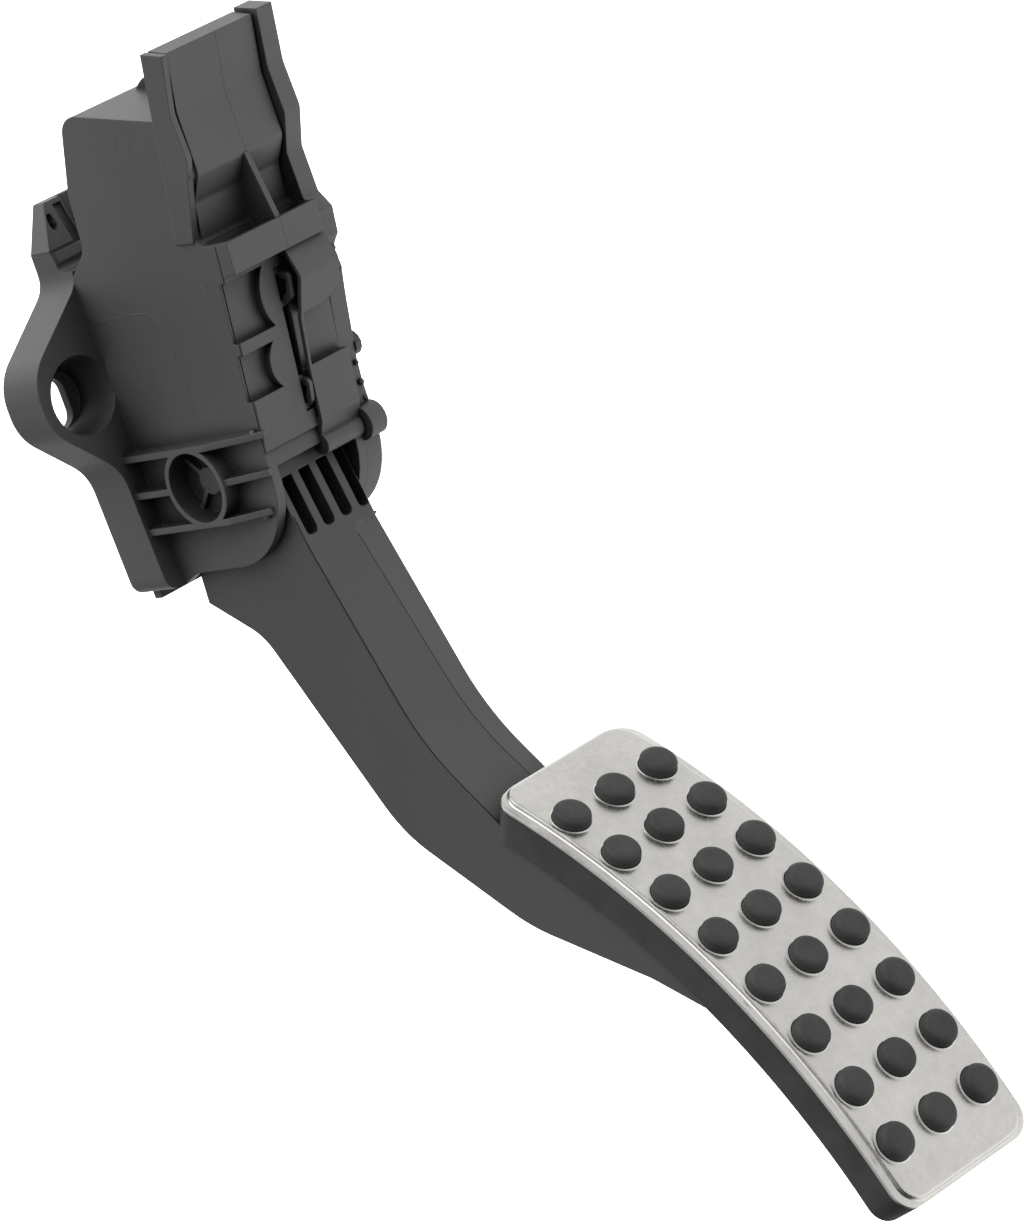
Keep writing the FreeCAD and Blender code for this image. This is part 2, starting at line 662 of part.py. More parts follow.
def right_shell():
    """The right half of the front, tongue and roof, with the right wall of the spring chamber."""
    outer = list(HOUSING_BACK) + list(RIGHT_FRONT) + list(HOUSING_TOP)
    tongue_right = COVER_JOINT - TONGUE_GROOVE
    case = prism(outer, PARTING, COVER_JOINT)
    case = case.fuse([
        prism(LIP, PARTING, LIP_RIGHT),
        prism(TONGUE, PARTING, tongue_right),
        prism(inset(TONGUE, TONGUE_GROOVE), tongue_right - 0.1, COVER_JOINT),
        prism(WEB, PARTING, PARTING + WEB_HALF),
    ])
    case = case.cut([
        chamber(RIGHT_FRONT, PARTING, INNER_RIGHT),
        prism(LIP_POCKET, PARTING + WEB_HALF, LIP_RIGHT - 0.4).cut(prism(TONGUE, -30, 30)),
        rod(CARRIER_OUTER + 0.6, INNER_RIGHT - 1, COVER_JOINT + 1),
        thin_edge(outer),
    ])
    root = INNER_RIGHT + 0.5
    case = case.fuse([
        bumper_shelf(PARTING, root),
        spring_shelf(PARTING, root),
        socket_saddle(),
        recess_backing(),
        rod(ROLLER_RADIUS, PARTING, LIP_RIGHT, NOSE_FRONT + 0.6, PIVOT_Z),
    ] + rods(SCREW_BOSS_RADIUS, PARTING, root, SCREW_PLACES))
    holes = rods(SCREW_RADIUS + SCREW_SLACK, PARTING - 1, COVER_JOINT + 1, SCREW_PLACES)
    return case.cut(holes + [front_recess(), joint_groove()]).removeSplitter()


def socket_shape(growth, x0, x1):
    """A stadium prism along X round the connector's centre."""
    h = SOCKET_HEIGHT / 2 + growth
    w = SOCKET_LENGTH / 2 + growth
    round_end = h * 0.9999
    corners = [(SOCKET_Y - w, SOCKET_Z - h, round_end), (SOCKET_Y + w, SOCKET_Z - h, round_end),
               (SOCKET_Y + w, SOCKET_Z + h, round_end), (SOCKET_Y - w, SOCKET_Z + h, round_end)]
    return prism(corners, x0, x1)


def socket_saddle():
    """The hump on the roof that carries the connector's root."""
    roof = box(-1, COVER_JOINT + 1, -70, -25, 62.5, 80)
    return socket_shape(0.0, 2.0, COVER_JOINT).common(roof)


def cover_outline():
    return list(HOUSING_BACK) + [(NOSE_FRONT, -28.4)] + list(COVER_FRONT) + list(HOUSING_TOP[2:])


def sensor_cover():
    """The right side plate over the sensor, with the connector's shroud and the tongue's right flange."""
    plate = fused([
        prism(cover_outline(), COVER_JOINT, HOUSING_RIGHT),
        rod(KNUCKLE_RADIUS, COVER_JOINT, HOUSING_RIGHT, NOSE_FRONT, PIVOT_Z),
        socket_shape(0.0, SOCKET_ROOT, SOCKET_END),
    ])
    socket = socket_shape(-SOCKET_WALL, HOUSING_RIGHT, SOCKET_END + 1)
    plate = plate.cut([prism(COVER_POCKET, COVER_JOINT - 1, COVER_FLOOR), socket])
    posts = rods(POST_RADIUS, BOARD_X + BOARD_THICKNESS, COVER_FLOOR + 0.5, POST_PLACES)
    plate = plate.fuse([rod(SHAFT_RADIUS + 1.8, COVER_JOINT, COVER_FLOOR + 0.5)] + posts)
    holes = [rod(SHAFT_RADIUS, COVER_JOINT - 1, COVER_FLOOR)]
    holes += rods(SCREW_RADIUS + SCREW_SLACK, COVER_JOINT - 1, HOUSING_RIGHT + 1, SCREW_PLACES)
    holes += [pin(i) for i in range(PIN_COUNT)]
    return plate.cut(holes).removeSplitter()


def pin(i):
    y = SOCKET_Y + (i - (PIN_COUNT - 1) / 2) * PIN_PITCH
    z = SOCKET_Z - PIN_DROP
    half = PIN_SIZE / 2
    return box(BOARD_X + BOARD_THICKNESS, PIN_END, y - half, y + half, z - half, z + half)


def terminal_pins():
    return Part.makeCompound([pin(i) for i in range(PIN_COUNT)])


def sensor_board():
    board = prism(BOARD, BOARD_X, BOARD_X + BOARD_THICKNESS)
    return board.cut(rod(SHAFT_RADIUS + 2.2, BOARD_X - 1, BOARD_X + BOARD_THICKNESS + 1))


def hall_sensor():
    y = PIVOT_Y - (CARRIER_INNER + CARRIER_OUTER) / 2
    return box(BOARD_X - CHIP_THICKNESS, BOARD_X, y - 2.0, y + 2.0, PIVOT_Z - 2.5, PIVOT_Z + 2.5)


def magnet_carrier():
    ring = rod(CARRIER_OUTER, ARM_RIGHT, ARM_RIGHT + CARRIER_DEPTH)
    ring = ring.cut(rod(CARRIER_INNER, ARM_RIGHT - 1, ARM_RIGHT + CARRIER_DEPTH + 1))
    return ring.cut([magnet(turn) for turn in (0, 180)])


def magnet(turn):
    """An arc magnet let into the carrier's outer face."""
    x0 = ARM_RIGHT + CARRIER_DEPTH - MAGNET_DEPTH
    ring = rod(CARRIER_OUTER - 0.8, x0, x0 + MAGNET_DEPTH).cut(rod(CARRIER_INNER + 0.8, x0 - 1, x0 + 3))
    wedge = [(PIVOT_Y, PIVOT_Z), (PIVOT_Y - 15, PIVOT_Z - 13), (PIVOT_Y - 15, PIVOT_Z + 13)]
    sector = prism(wedge, x0 - 1, x0 + 3)
    piece = ring.common(sector)
    piece.rotate(PIVOT, X_AXIS, turn)
    return piece


def magnets():
    return Part.makeCompound([magnet(turn) for turn in (0, 180)])


def pivot_shaft():
    return rod(SHAFT_RADIUS, INNER_LEFT - 0.7, COVER_FLOOR - 0.1)


def bush(x0):
    """A sleeve bush in the arm's hub."""
    bore = rod(SHAFT_RADIUS + SHAFT_SLACK, x0 - 1, x0 + BUSH_LENGTH + 1)
    return rod(BUSH_RADIUS, x0, x0 + BUSH_LENGTH).cut(bore)


def arm_outline(recede=0.0):
    """The arm's side outline, its front edge below the grille moved back by the given amount."""
    moved = [(p[0] + recede,) + tuple(p[1:]) for p in ARM_FRONT]
    return list(GRILLE_FRONT) + moved + list(ARM_REAR) + list(ARM_TOP)


def arm_body():
    """The arm's outer form: full depth up to a leaning crease, then falling back towards the right side."""
    near = outline(arm_outline(), "X", ARM_LEFT)
    crease = outline(arm_outline(), "X", CREASE_X, CREASE_LEAN)
    far = outline(arm_outline(ARM_BEVEL), "X", ARM_RIGHT)
    left = Part.makeLoft([near, crease], True, True)
    right = Part.makeLoft([crease, far], True, True)
    return left.fuse(right).removeSplitter()


def row_angle(along):
    """The angle of a place on the pad, given by its length along the curve from the pad's top edge."""
    return PAD_TILT + math.degrees((PAD_LENGTH / 2 - along) / PAD_RADIUS)


def bent_line(depth, margin):
    """The pad's bent section at one depth, from its top end: flat under each row of studs."""
    bends = [0.0]
    for row in range(STUD_ROWS):
        middle = FIRST_ROW + row * ROW_PITCH
        bends += [middle - STUD_STRIP / 2, middle + STUD_STRIP / 2]
    bends.append(PAD_LENGTH)
    points = [V(0, *pad_yz(depth, row_angle(along))) for along in bends]
    points[0] += (points[1] - points[0]) * (margin / (bends[1] - bends[0]))
    points[-1] += (points[-2] - points[-1]) * (margin / (bends[-1] - bends[-2]))
    return points


def pad_sector(inner, outer, half_width, margin, corner):
    """A slab bent round the pad's centre of curvature, between two depths under the rubber's top face.

    It is narrower than the pad by the margin at each end, and its four corners are rounded.
    """
    top = bent_line(outer, margin)
    bottom = bent_line(inner, margin)
    section = Part.Face(Part.makePolygon(top + bottom[::-1] + top[:1]))
    slab = section.extrude(V(2 * half_width, 0, 0))
    middles = [(top[i] + bottom[i]) * 0.5 + V(x, 0, 0) for i in (0, -1) for x in (0, 2 * half_width)]
    ends = [e for e in slab.Edges if min(e.CenterOfMass.distanceToPoint(m) for m in middles) < 0.01]
    return slab.makeFillet(corner, ends).translated(V(PAD_X - half_width, 0, 0))


def foot_plate():
    """The plate at the arm's end that the rubber is pulled over."""
    return pad_sector(PAD_THICKNESS, RUBBER_SKIN, PAD_HALF_WIDTH - RUBBER_SKIRT, RUBBER_SKIRT + 0.8,
                      PAD_CORNER - RUBBER_SKIRT)


def arm_ribs():
    """Cross ribs inside the arm, and one rib along its middle."""
    ribs = []
    for front, rear in CROSS_RIBS:
        along = V(0, rear[0] - front[0], rear[1] - front[1]).normalize()
        across = V(0, -along.z, along.y) * (ARM_RIB / 2)
        corners = [(front[0] + across.y, front[1] + across.z), (rear[0] + across.y, rear[1] + across.z),
                   (rear[0] - across.y, rear[1] - across.z), (front[0] - across.y, front[1] - across.z)]
        ribs.append(prism(corners, ARM_LEFT, ARM_RIGHT))
    middle = (ARM_LEFT + ARM_RIGHT) / 2
    ribs.append(box(middle - ARM_RIB / 2, middle + ARM_RIB / 2, -160, -5, -190, PIVOT_Z - 4))
    return ribs


def grille_slots():
    """The row of slots through the plate at the top of the arm's front, rounded at the lower end."""
    r = GRILLE_SLOT_WIDTH / 2
    slots = []
    for i in range(SLOT_COUNT):
        x = ARM_LEFT + GRILLE_MARGIN + r + i * SLOT_PITCH
        shape = ((x - r, GRILLE_TOP), (x + r, GRILLE_TOP),
                 (x + r, GRILLE_BOTTOM, GRILLE_CORNER), (x - r, GRILLE_BOTTOM, GRILLE_CORNER))
        slots.append(prism(shape, -65, -51.0, "Y"))
    return slots


def grille_chamfer():
    """The sloping cut along the right edge of the slotted plate."""
    right = ARM_RIGHT + 0.2
    ends = []
    for y, z in GRILLE_FRONT[1:]:
        corner = V(right, y - 0.2, z)
        ends.append(Part.makePolygon([corner, V(right, y + GRILLE_CHAMFER, z),
                                      V(ARM_RIGHT - GRILLE_CHAMFER, y - 0.2, z), corner]))
    return Part.makeLoft(ends, True, True)


def pedal_arm():
    """The moulded arm: hub, heel lever, hollow ribbed beam and foot plate in one piece."""
    hollow = prism(ARM_HOLLOW, ARM_LEFT + ARM_WALL, ARM_RIGHT - ARM_WALL)
    hollow = hollow.cut([rod(HUB_TUBE_RADIUS, ARM_LEFT, ARM_RIGHT)] + arm_ribs())
    body = arm_body().cut(hollow).fuse(foot_plate())
    bores = [
        rod(INNER_BOSS_RADIUS + 0.6, ARM_LEFT - 1, LEFT_BUSH_FACE),
        rod(BUSH_RADIUS, LEFT_BUSH_FACE - 1, LEFT_BUSH_FACE + BUSH_LENGTH),
        rod(SHAFT_RADIUS + 0.5, LEFT_BUSH_FACE, ARM_RIGHT),
        rod(BUSH_RADIUS, ARM_RIGHT - BUSH_LENGTH, ARM_RIGHT + 1),
    ]
    return body.cut(bores + grille_slots() + [grille_chamfer()]).removeSplitter()


def on_pad(shape, row, column):
    """An upright shape stood in one place of the stud grid, its zero on the rubber's top face."""
    angle = row_angle(FIRST_ROW + row * ROW_PITCH)
    x = PAD_X + (column - (STUD_COLUMNS - 1) / 2) * COLUMN_PITCH
    stood = shape.copy()
    stood.rotate(V(0, 0, 0), X_AXIS, 90 - angle)
    stood.translate(V(x, *pad_yz(0.0, angle)))
    return stood


def on_grid(shape):
    return [on_pad(shape, row, column) for row in range(STUD_ROWS) for column in range(STUD_COLUMNS)]


def stud():
    """A rubber stud with a bevelled edge."""
    body = post(STUD_RADIUS, -STUD_ROOT, STUD_HEIGHT)
    rim = [e for e in body.Edges if e.BoundBox.ZMin > STUD_HEIGHT - 0.01]
    return body.makeChamfer(STUD_EDGE, rim)


def rubber_pad():
    """The rubber cover over the foot plate, with its studs."""
    cover = pad_sector(PAD_THICKNESS, 0.0, PAD_HALF_WIDTH, 0.8, PAD_CORNER)
    field = PAD_HALF_WIDTH + TREAD_OVERHANG - TREAD_MARGIN
    raised = pad_sector(1.0, -TREAD_STEP, field - SHEET, TREAD_MARGIN + SHEET, PAD_CORNER - SHEET)
    neck = prism(arm_outline(), ARM_LEFT, ARM_RIGHT)
    cover = cover.fuse(raised).cut([foot_plate(), neck])
    return cover.fuse(on_grid(stud())).removeSplitter()


def tread_plate():
    """The pressed steel tread plate: a raised field inside a narrow flange, with a hole at each stud."""
    wide = PAD_HALF_WIDTH + TREAD_OVERHANG
    field = wide - TREAD_MARGIN
    flange_sheet = pad_sector(0.0, -SHEET, wide, 0.0, PAD_CORNER + TREAD_OVERHANG)
    raised = pad_sector(0.0, -TREAD_STEP - SHEET, field, TREAD_MARGIN, PAD_CORNER)
    under = pad_sector(1.0, -TREAD_STEP, field - SHEET, TREAD_MARGIN + SHEET, PAD_CORNER - SHEET)
    plate = flange_sheet.fuse(raised).cut(under)
    return plate.cut(on_grid(post(STUD_RADIUS + STUD_CLEARANCE, -2.0, 4.0)))


def coil(radius, wire, turns, left_handed):
    """A compression spring between its seats."""
    bottom = LEVER_TOP + SEAT_THICKNESS
    rise = SPRING_TOP - bottom - wire
    hand = -1 if left_handed else 1
    steps = turns * COIL_STEPS
    points = []
    for i in range(steps + 1):
        turn = 2 * math.pi * i / COIL_STEPS
        points.append(V(radius * math.cos(turn), hand * radius * math.sin(turn), rise * i / steps))
    path = Part.makePolygon(points)
    corners = [V(radius + wire / 2 * math.cos(a), 0, wire / 2 * math.sin(a))
               for a in (math.radians(60 * k) for k in range(7))]
    spring = path.makePipeShell([Part.makePolygon(corners)], True, False, 1)
    spring.translate(V(SPRING_X, SPRING_Y, bottom + wire / 2))
    return spring


def return_spring_outer():
    return coil(OUTER_SPRING_RADIUS, OUTER_WIRE, OUTER_TURNS, False)


def return_spring_inner():
    return coil(INNER_SPRING_RADIUS, INNER_WIRE, INNER_TURNS, True)


def spring_seat(level, spigot_base):
    """A disc with a spigot that centres the inner spring."""
    spigot_radius = INNER_SPRING_RADIUS - INNER_WIRE / 2 - 0.3
    disc = Part.makeCylinder(SEAT_RADIUS, SEAT_THICKNESS, V(SPRING_X, SPRING_Y, level))
    spigot = post(spigot_radius, spigot_base, spigot_base + SEAT_THICKNESS + SEAT_SPIGOT)
    return fused([disc, spigot.translated(V(SPRING_X, SPRING_Y, 0))])


def lower_spring_seat():
    return spring_seat(LEVER_TOP, LEVER_TOP)


def upper_spring_seat():
    return spring_seat(SPRING_TOP, SPRING_TOP - SEAT_SPIGOT)


def rest_bumper():
    """The rubber block that the arm's top meets at rest."""
    front = NOSE_FRONT + WALL + 0.5
    return box(BUMPER_LEFT, BUMPER_LEFT + BUMPER_WIDTH, front, front + REST_BUMPER_DEPTH,
               HUB_TOP + STOP_GAP, SHELF_LEVEL)


def full_travel_bumper():
    """The rubber block on the back plate that the heel meets at full travel."""
    return box(BUMPER_LEFT, BUMPER_LEFT + BUMPER_WIDTH, -WALL - BUMPER_DEPTH, -WALL,
               HEEL_BUMPER_BOTTOM, HEEL_BUMPER_BOTTOM + HEEL_BUMPER_HEIGHT)


def housing_screws():
    """The screws that hold the sensor cover and the right half to the main moulding."""
    heads = rods(SCREW_HEAD_RADIUS, HOUSING_RIGHT, HOUSING_RIGHT + SCREW_HEAD_DEPTH, SCREW_PLACES)
    shanks = rods(SCREW_RADIUS, -SCREW_DEPTH, HOUSING_RIGHT + 0.5, SCREW_PLACES)
    return Part.makeCompound([head.fuse(shank) for head, shank in zip(heads, shanks)])


def pivot_bush_left():
    return bush(LEFT_BUSH_FACE)


def pivot_bush_right():
    return bush(ARM_RIGHT - BUSH_LENGTH)


NODES = (
    housing_shell, right_shell, sensor_cover, housing_screws,
    terminal_pins, sensor_board, hall_sensor, magnet_carrier, magnets,
    pivot_shaft, pivot_bush_left, pivot_bush_right,
    pedal_arm, rubber_pad, tread_plate,
    return_spring_outer, return_spring_inner, lower_spring_seat, upper_spring_seat,
    rest_bumper, full_travel_bumper,
)


def main():
    os.makedirs("parts", exist_ok=True)
    for make in NODES:
        shape = make()
        shape.exportStep(os.path.join("parts", make.__name__ + ".step"))
        print(make.__name__, len(shape.Solids), round(shape.Volume / 1000, 2), "cm3", shape.isValid())


main()
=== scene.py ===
"""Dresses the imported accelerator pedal: finishes, smooth tread pad, fine mouldings, light and camera."""
import math

import bmesh
import bpy
from mathutils import Matrix, Vector
from mathutils.bvhtree import BVHTree

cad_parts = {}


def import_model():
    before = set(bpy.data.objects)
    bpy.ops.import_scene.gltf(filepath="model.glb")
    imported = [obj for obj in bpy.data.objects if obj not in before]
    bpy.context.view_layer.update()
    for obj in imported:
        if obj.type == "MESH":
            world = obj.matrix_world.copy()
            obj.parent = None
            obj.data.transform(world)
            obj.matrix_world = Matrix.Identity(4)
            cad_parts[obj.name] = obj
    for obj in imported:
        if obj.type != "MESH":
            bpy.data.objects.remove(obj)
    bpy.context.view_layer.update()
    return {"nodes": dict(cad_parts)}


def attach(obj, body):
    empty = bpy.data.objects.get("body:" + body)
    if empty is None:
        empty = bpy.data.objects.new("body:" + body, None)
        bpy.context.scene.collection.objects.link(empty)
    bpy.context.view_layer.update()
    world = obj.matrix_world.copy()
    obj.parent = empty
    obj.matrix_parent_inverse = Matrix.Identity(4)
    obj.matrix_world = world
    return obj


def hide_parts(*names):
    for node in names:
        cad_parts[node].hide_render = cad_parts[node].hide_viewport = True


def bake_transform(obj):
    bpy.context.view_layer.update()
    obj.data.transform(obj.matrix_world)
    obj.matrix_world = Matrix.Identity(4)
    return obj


MM = 0.001

# Camera: where the photograph was taken from, in the object's frame
CAMERA_PLACE = (-0.99531, -1.24732, 0.23764)
CAMERA_AZIMUTH = 41.055     # degrees to the right of straight ahead
CAMERA_DIP = 11.746         # degrees below level
CAMERA_ROLL = -19.990       # degrees anticlockwise
FOCAL_PIXELS = 6431.0
FRAME_HEIGHT = 1224.0       # the photograph's longer side in pixels
SENSOR = 36.0

# Soft studio light: direction it comes from, degrees of full and of no light round it, brightness
LOBES = {
    "backdrop": ((0.55, 0.80, 0.18), 32.0, 82.0, 1.45),
    "left": ((-0.72, 0.68, 0.05), 25.0, 65.0, 0.58),
    "left_top": ((-0.66, -0.26, 0.70), 12.0, 40.0, 2.2),
    "front": ((-0.15, -0.97, 0.18), 12.0, 40.0, 0.75),
    "right": ((0.78, -0.50, 0.35), 38.0, 62.0, 1.02),
    "top": ((-0.35, 0.30, 1.0), 15.0, 45.0, 2.6),
    "floor": ((0.65, -0.45, -0.60), 30.0, 60.0, 1.4),
}
FILL_LIGHT = 0.06
BACKDROP_RADIUS = 8.0
FLOOR_LEVEL = -0.75

# Greys as linear values
HOUSING_GREY = 0.072
# painted light: a paler copy of the housing grey, so that the guide blocks' faces look lit
LIT_FLANGE_GREY = 0.085
ARM_GREY = 0.055
PALE_GREY = 0.13            # thin raised edges that catch the light
RUBBER_GREY = 0.040
STEEL_COLOUR = (0.585, 0.572, 0.545)
EDGE_RADIUS = 0.45 * MM     # how far moulded edges are rounded in the finish
PAINTED_SHADE_REACH = 18.0 * MM    # how far from a corner the painted shade in corners and hollows reaches
PAINTED_SHADE_DARKEST = 0.20          # what is left of the grey under the deepest painted shade
PAINTED_SHADE_SHUT = 0.38          # share of open space at which the painted shade is darkest
PAINTED_SHADE_OPEN = 0.9           # and at which it keeps its own grey
GRAIN_DEPTH = 0.03 * MM
RUBBER_ROUGHNESS = 0.6
RUBBER_SPECULAR = 0.3
SHARP_ANGLE = 30.0          # edges that turn by more degrees than this stay sharp

# Sockets of a colour mix: its factor, its two colours and its result
MIX_FACTOR = 0
MIX_FIRST = 6
MIX_SECOND = 7
MIX_RESULT = 2

# The housing and the arm in millimetres, as in the part's source
HOUSING_LEFT = -18.5
HOUSING_RIGHT = 19.0
PANEL_LOW = (-60.8, -24.0)
PANEL_HIGH = (-68.8, 20.7)
WINDOWS = ((19.0, 3.8), (0.6, -11.0))
FLANGE_SIDE = ((-11.1, 45.8), (-17.4, 34.6))
ARM_LEFT = -15.0
CREASE_X = -0.8
CREASE_LEAN = 0.037

# Fine lines in millimetres: their widths and how far they stand proud; the dark ones are painted shade of
# fine grooves
EDGE_GROOVE_SHADE = (0.34, 0.03)
CREASE_GROOVE_SHADE = (0.16, 0.03)
CORNER_GROOVE_SHADE = (0.32, 0.03)
PALE_LINE = (0.24, 0.05)
LINE_FOOT = 0.1             # how far the foot of a fine line is sunk
LINE_TAPER = 0.9            # its top's width as a share of its foot's
LINE_STEP = 1.5
CORNER_LINE_STEP = 1.0

# Where the arm's fine lines run, in millimetres
BEFORE_ARM = -120.0         # rays towards the arm's front start here
ARM_EDGE_IN = 0.45          # how far inside the arm's left side the painted shade of its edge groove runs
ARM_EDGE_TOP = -42.0
CREASE_TOP = -53.0
ARM_LINE_LOW = -146.0
LONGEST_GAP = 4.0           # a longer jump ends a line

# Where the left wall's fine lines run, in millimetres, as (y, z)
BEFORE_WALL = HOUSING_LEFT - 5      # rays towards the left wall start here
WALL_DEPTH = 0.5            # places deeper than this aren't on the left wall
GROOVE_TOP = (-69.5, 28.4)
GROOVE_BEND = 20.4          # height at which the painted shade of the corner groove leaves the lip for the panel
GROOVE_BACK = 0.5           # how far behind the panel's front edge it runs
WINDOW_BACK = 1.5           # and how far behind it beside a window
UPPER_MARK = (-49.6, 56.5)
UPPER_MARK_RADIUS = 2.7
LOWER_MARK = (-59.4, 18.0)
LOWER_MARK_RADIUS = 1.3
FLANGE_ROOT = ((-14.5, 27.4), (-14.9, 15.2))
GRAINED_PANEL = ((-14.9, 15.2), (-29.3, 15.8), (-36.2, 15.4), (-38.6, 14.2), (-40.2, 11.6), (-40.7, 8.0),
                 (-40.9, -8.0), (-40.3, -10.6), (-38.2, -12.4))

# Small rounded mouldings in millimetres: rib ends as (y, z), and nubs as (y, z, radius)
RIB_ENDS = ((-59.4, -18.6), (-53.2, -39.6))
RIB_END_RADIUS = 1.0
RIB_END_STAND = 0.7         # how far off the left wall a rib end's middle is
COVER_NUBS = ((-67.3, 14.8, 0.9), (-67.1, 9.6, 0.8), (-60.9, -14.6, 0.7), (-60.1, -19.6, 0.9),
              (-59.4, -23.6, 0.9))
NUB_SINK = 0.9              # how far inside the cover's face a nub's middle is

# The guide holes in millimetres: the flange's slope as (y, z), the rest as (x, z) on the left side
GUIDE_SLOPE = ((-8.4, 31.2), (-4.0, 45.9))
GUIDE_HOLE = (-11.7, 40.6)
GUIDE_HOLE_HALF_WIDTH = 1.3
GUIDE_HOLE_HALF_HEIGHT = 2.4
GUIDE_INNER = -8.95         # the block's edge beside the stepped frame
GUIDE_BACK = -0.05          # the block ends this near to the mounting face
GUIDE_PROUD = 0.1
GUIDE_SIDE_PROUD = 0.05
GUIDE_STEPS = 8
FRAME_INNER = -6.15
FRAME_OUTER = -16.0
FRAME_LOW = 31.3
FRAME_HIGH = 34.0
SILL_DEPTH = 0.95
SILL_PROUD = 0.02

# The return springs in millimetres, as in the part's source: radius, wire, turns and hand of each
SPRING_X = -2.5
SPRING_Y = -20.5
SPRING_TOP = 21.0
SPRING_FOOT = -15.4
SPRINGS = {"outer": (5.4, 1.5, 6, 1), "inner": (3.2, 1.0, 7, -1)}
COIL_STEPS = 24
WIRE_STEPS = 10

# The pad in millimetres, as in the part's source
PAD_X = 8.0
PAD_Y = -146.46
PAD_Z = -168.81
PAD_TILT = 38.4
PAD_RADIUS = 217.0
PAD_LENGTH = 147.7
PAD_THICKNESS = 10.5
PAD_HALF_WIDTH = 24.0
PAD_CORNER = 6.0
PLATE_SHORT = 1.2           # the sheet and the rubber end this far above the pad's bottom edge
FIELD_TOP_MARGIN = 0.5      # the raised field almost reaches the sheet's top edge
SHEET = 0.8
TREAD_STEP = 1.2
FIELD_HEIGHT = TREAD_STEP + SHEET
TREAD_OVERHANG = 0.65
TREAD_MARGIN = 2.45
STUD_ROWS = 8
STUD_COLUMNS = 3
COLUMN_PITCH = 16.0
FIRST_ROW = 18.6
LAST_ROW = 17.1
ROW_PITCH = (PAD_LENGTH - FIRST_ROW - LAST_ROW) / (STUD_ROWS - 1)
BEND_STEP = 2.0             # length of the flats that the smooth bend is made of

# Steps of the pad's meshes
CORNER_STEPS = 8
LONG_STEPS = 36
SHORT_STEPS = 12
ROUND_STEPS = 32


def new_material(name):
    """A material with its node tree and its main shader."""
    material = bpy.data.materials.new(name)
    material.use_nodes = True
    tree = material.node_tree
    shader = tree.nodes["Principled BSDF"]
    return material, tree, shader


def noise(tree, coordinates, scale, detail=2.0, roughness=0.5):
    """Even noise from 0 to 1, with about this many grains to the metre."""
    node = tree.nodes.new("ShaderNodeTexNoise")
    node.inputs["Scale"].default_value = scale
    node.inputs["Detail"].default_value = detail
    node.inputs["Roughness"].default_value = roughness
    tree.links.new(coordinates, node.inputs["Vector"])
    return node.outputs["Fac"]


def ramp(tree, value, low=0.0, high=1.0, start=0.35, end=0.65):
    """Maps a value from start..end to low..high."""
    node = tree.nodes.new("ShaderNodeMapRange")
    node.inputs["From Min"].default_value = start
    node.inputs["From Max"].default_value = end
    node.inputs["To Min"].default_value = low
    node.inputs["To Max"].default_value = high
    tree.links.new(value, node.inputs["Value"])
    return node.outputs["Result"]


def tint(tree, value, dark, light):
    """Mixes two colours by a value from 0 to 1."""
    node = tree.nodes.new("ShaderNodeMix")
    node.data_type = "RGBA"
    node.inputs[MIX_FIRST].default_value = (*dark, 1.0)
    node.inputs[MIX_SECOND].default_value = (*light, 1.0)
    tree.links.new(value, node.inputs[MIX_FACTOR])
    return node.outputs[MIX_RESULT]


def math_node(tree, operation, first, second):
    """Joins two values, each a number or a socket."""
    node = tree.nodes.new("ShaderNodeMath")
    node.operation = operation
    for socket, value in zip(node.inputs, (first, second)):
        if isinstance(value, float):
            socket.default_value = value
        else:
            tree.links.new(value, socket)
    return node.outputs["Value"]


def surface_relief(tree, shader, height, distance, strength=0.5, edge_radius=0.0):
    """Bump from a height, over edges that are rounded by the edge radius."""
    node = tree.nodes.new("ShaderNodeBump")
    node.inputs["Strength"].default_value = strength
    node.inputs["Distance"].default_value = distance
    tree.links.new(height, node.inputs["Height"])
    if edge_radius:
        edge = tree.nodes.new("ShaderNodeBevel")
        edge.samples = 6
        edge.inputs["Radius"].default_value = edge_radius
        tree.links.new(edge.outputs["Normal"], node.inputs["Normal"])
    tree.links.new(node.outputs["Normal"], shader.inputs["Normal"])


def object_coordinates(tree):
    """Places on the object itself, which move with it."""
    return tree.nodes.new("ShaderNodeTexCoord").outputs["Object"]


def stretched(tree, coordinates, scale):
    """Coordinates scaled by axis, so that a noise is drawn out where the scale is small."""
    node = tree.nodes.new("ShaderNodeMapping")
    node.inputs["Scale"].default_value = scale
    tree.links.new(coordinates, node.inputs["Vector"])
    return node.outputs["Vector"]


def painted_hollow_shade(tree, colour):
    """Painted shade: darkens a colour in corners and hollows by how shut in they are, standing in for the
    shade that falls there.
    """
    openness = tree.nodes.new("ShaderNodeAmbientOcclusion")
    openness.samples = 8
    openness.inputs["Distance"].default_value = PAINTED_SHADE_REACH
    shade = ramp(tree, openness.outputs["AO"], low=PAINTED_SHADE_DARKEST, start=PAINTED_SHADE_SHUT, end=PAINTED_SHADE_OPEN)
    node = tree.nodes.new("ShaderNodeMix")
    node.data_type = "RGBA"
    node.blend_type = "MULTIPLY"
    node.inputs[MIX_FACTOR].default_value = 1.0
    tree.links.new(colour, node.inputs[MIX_FIRST])
    tree.links.new(shade, node.inputs[MIX_SECOND])
    return node.outputs[MIX_RESULT]


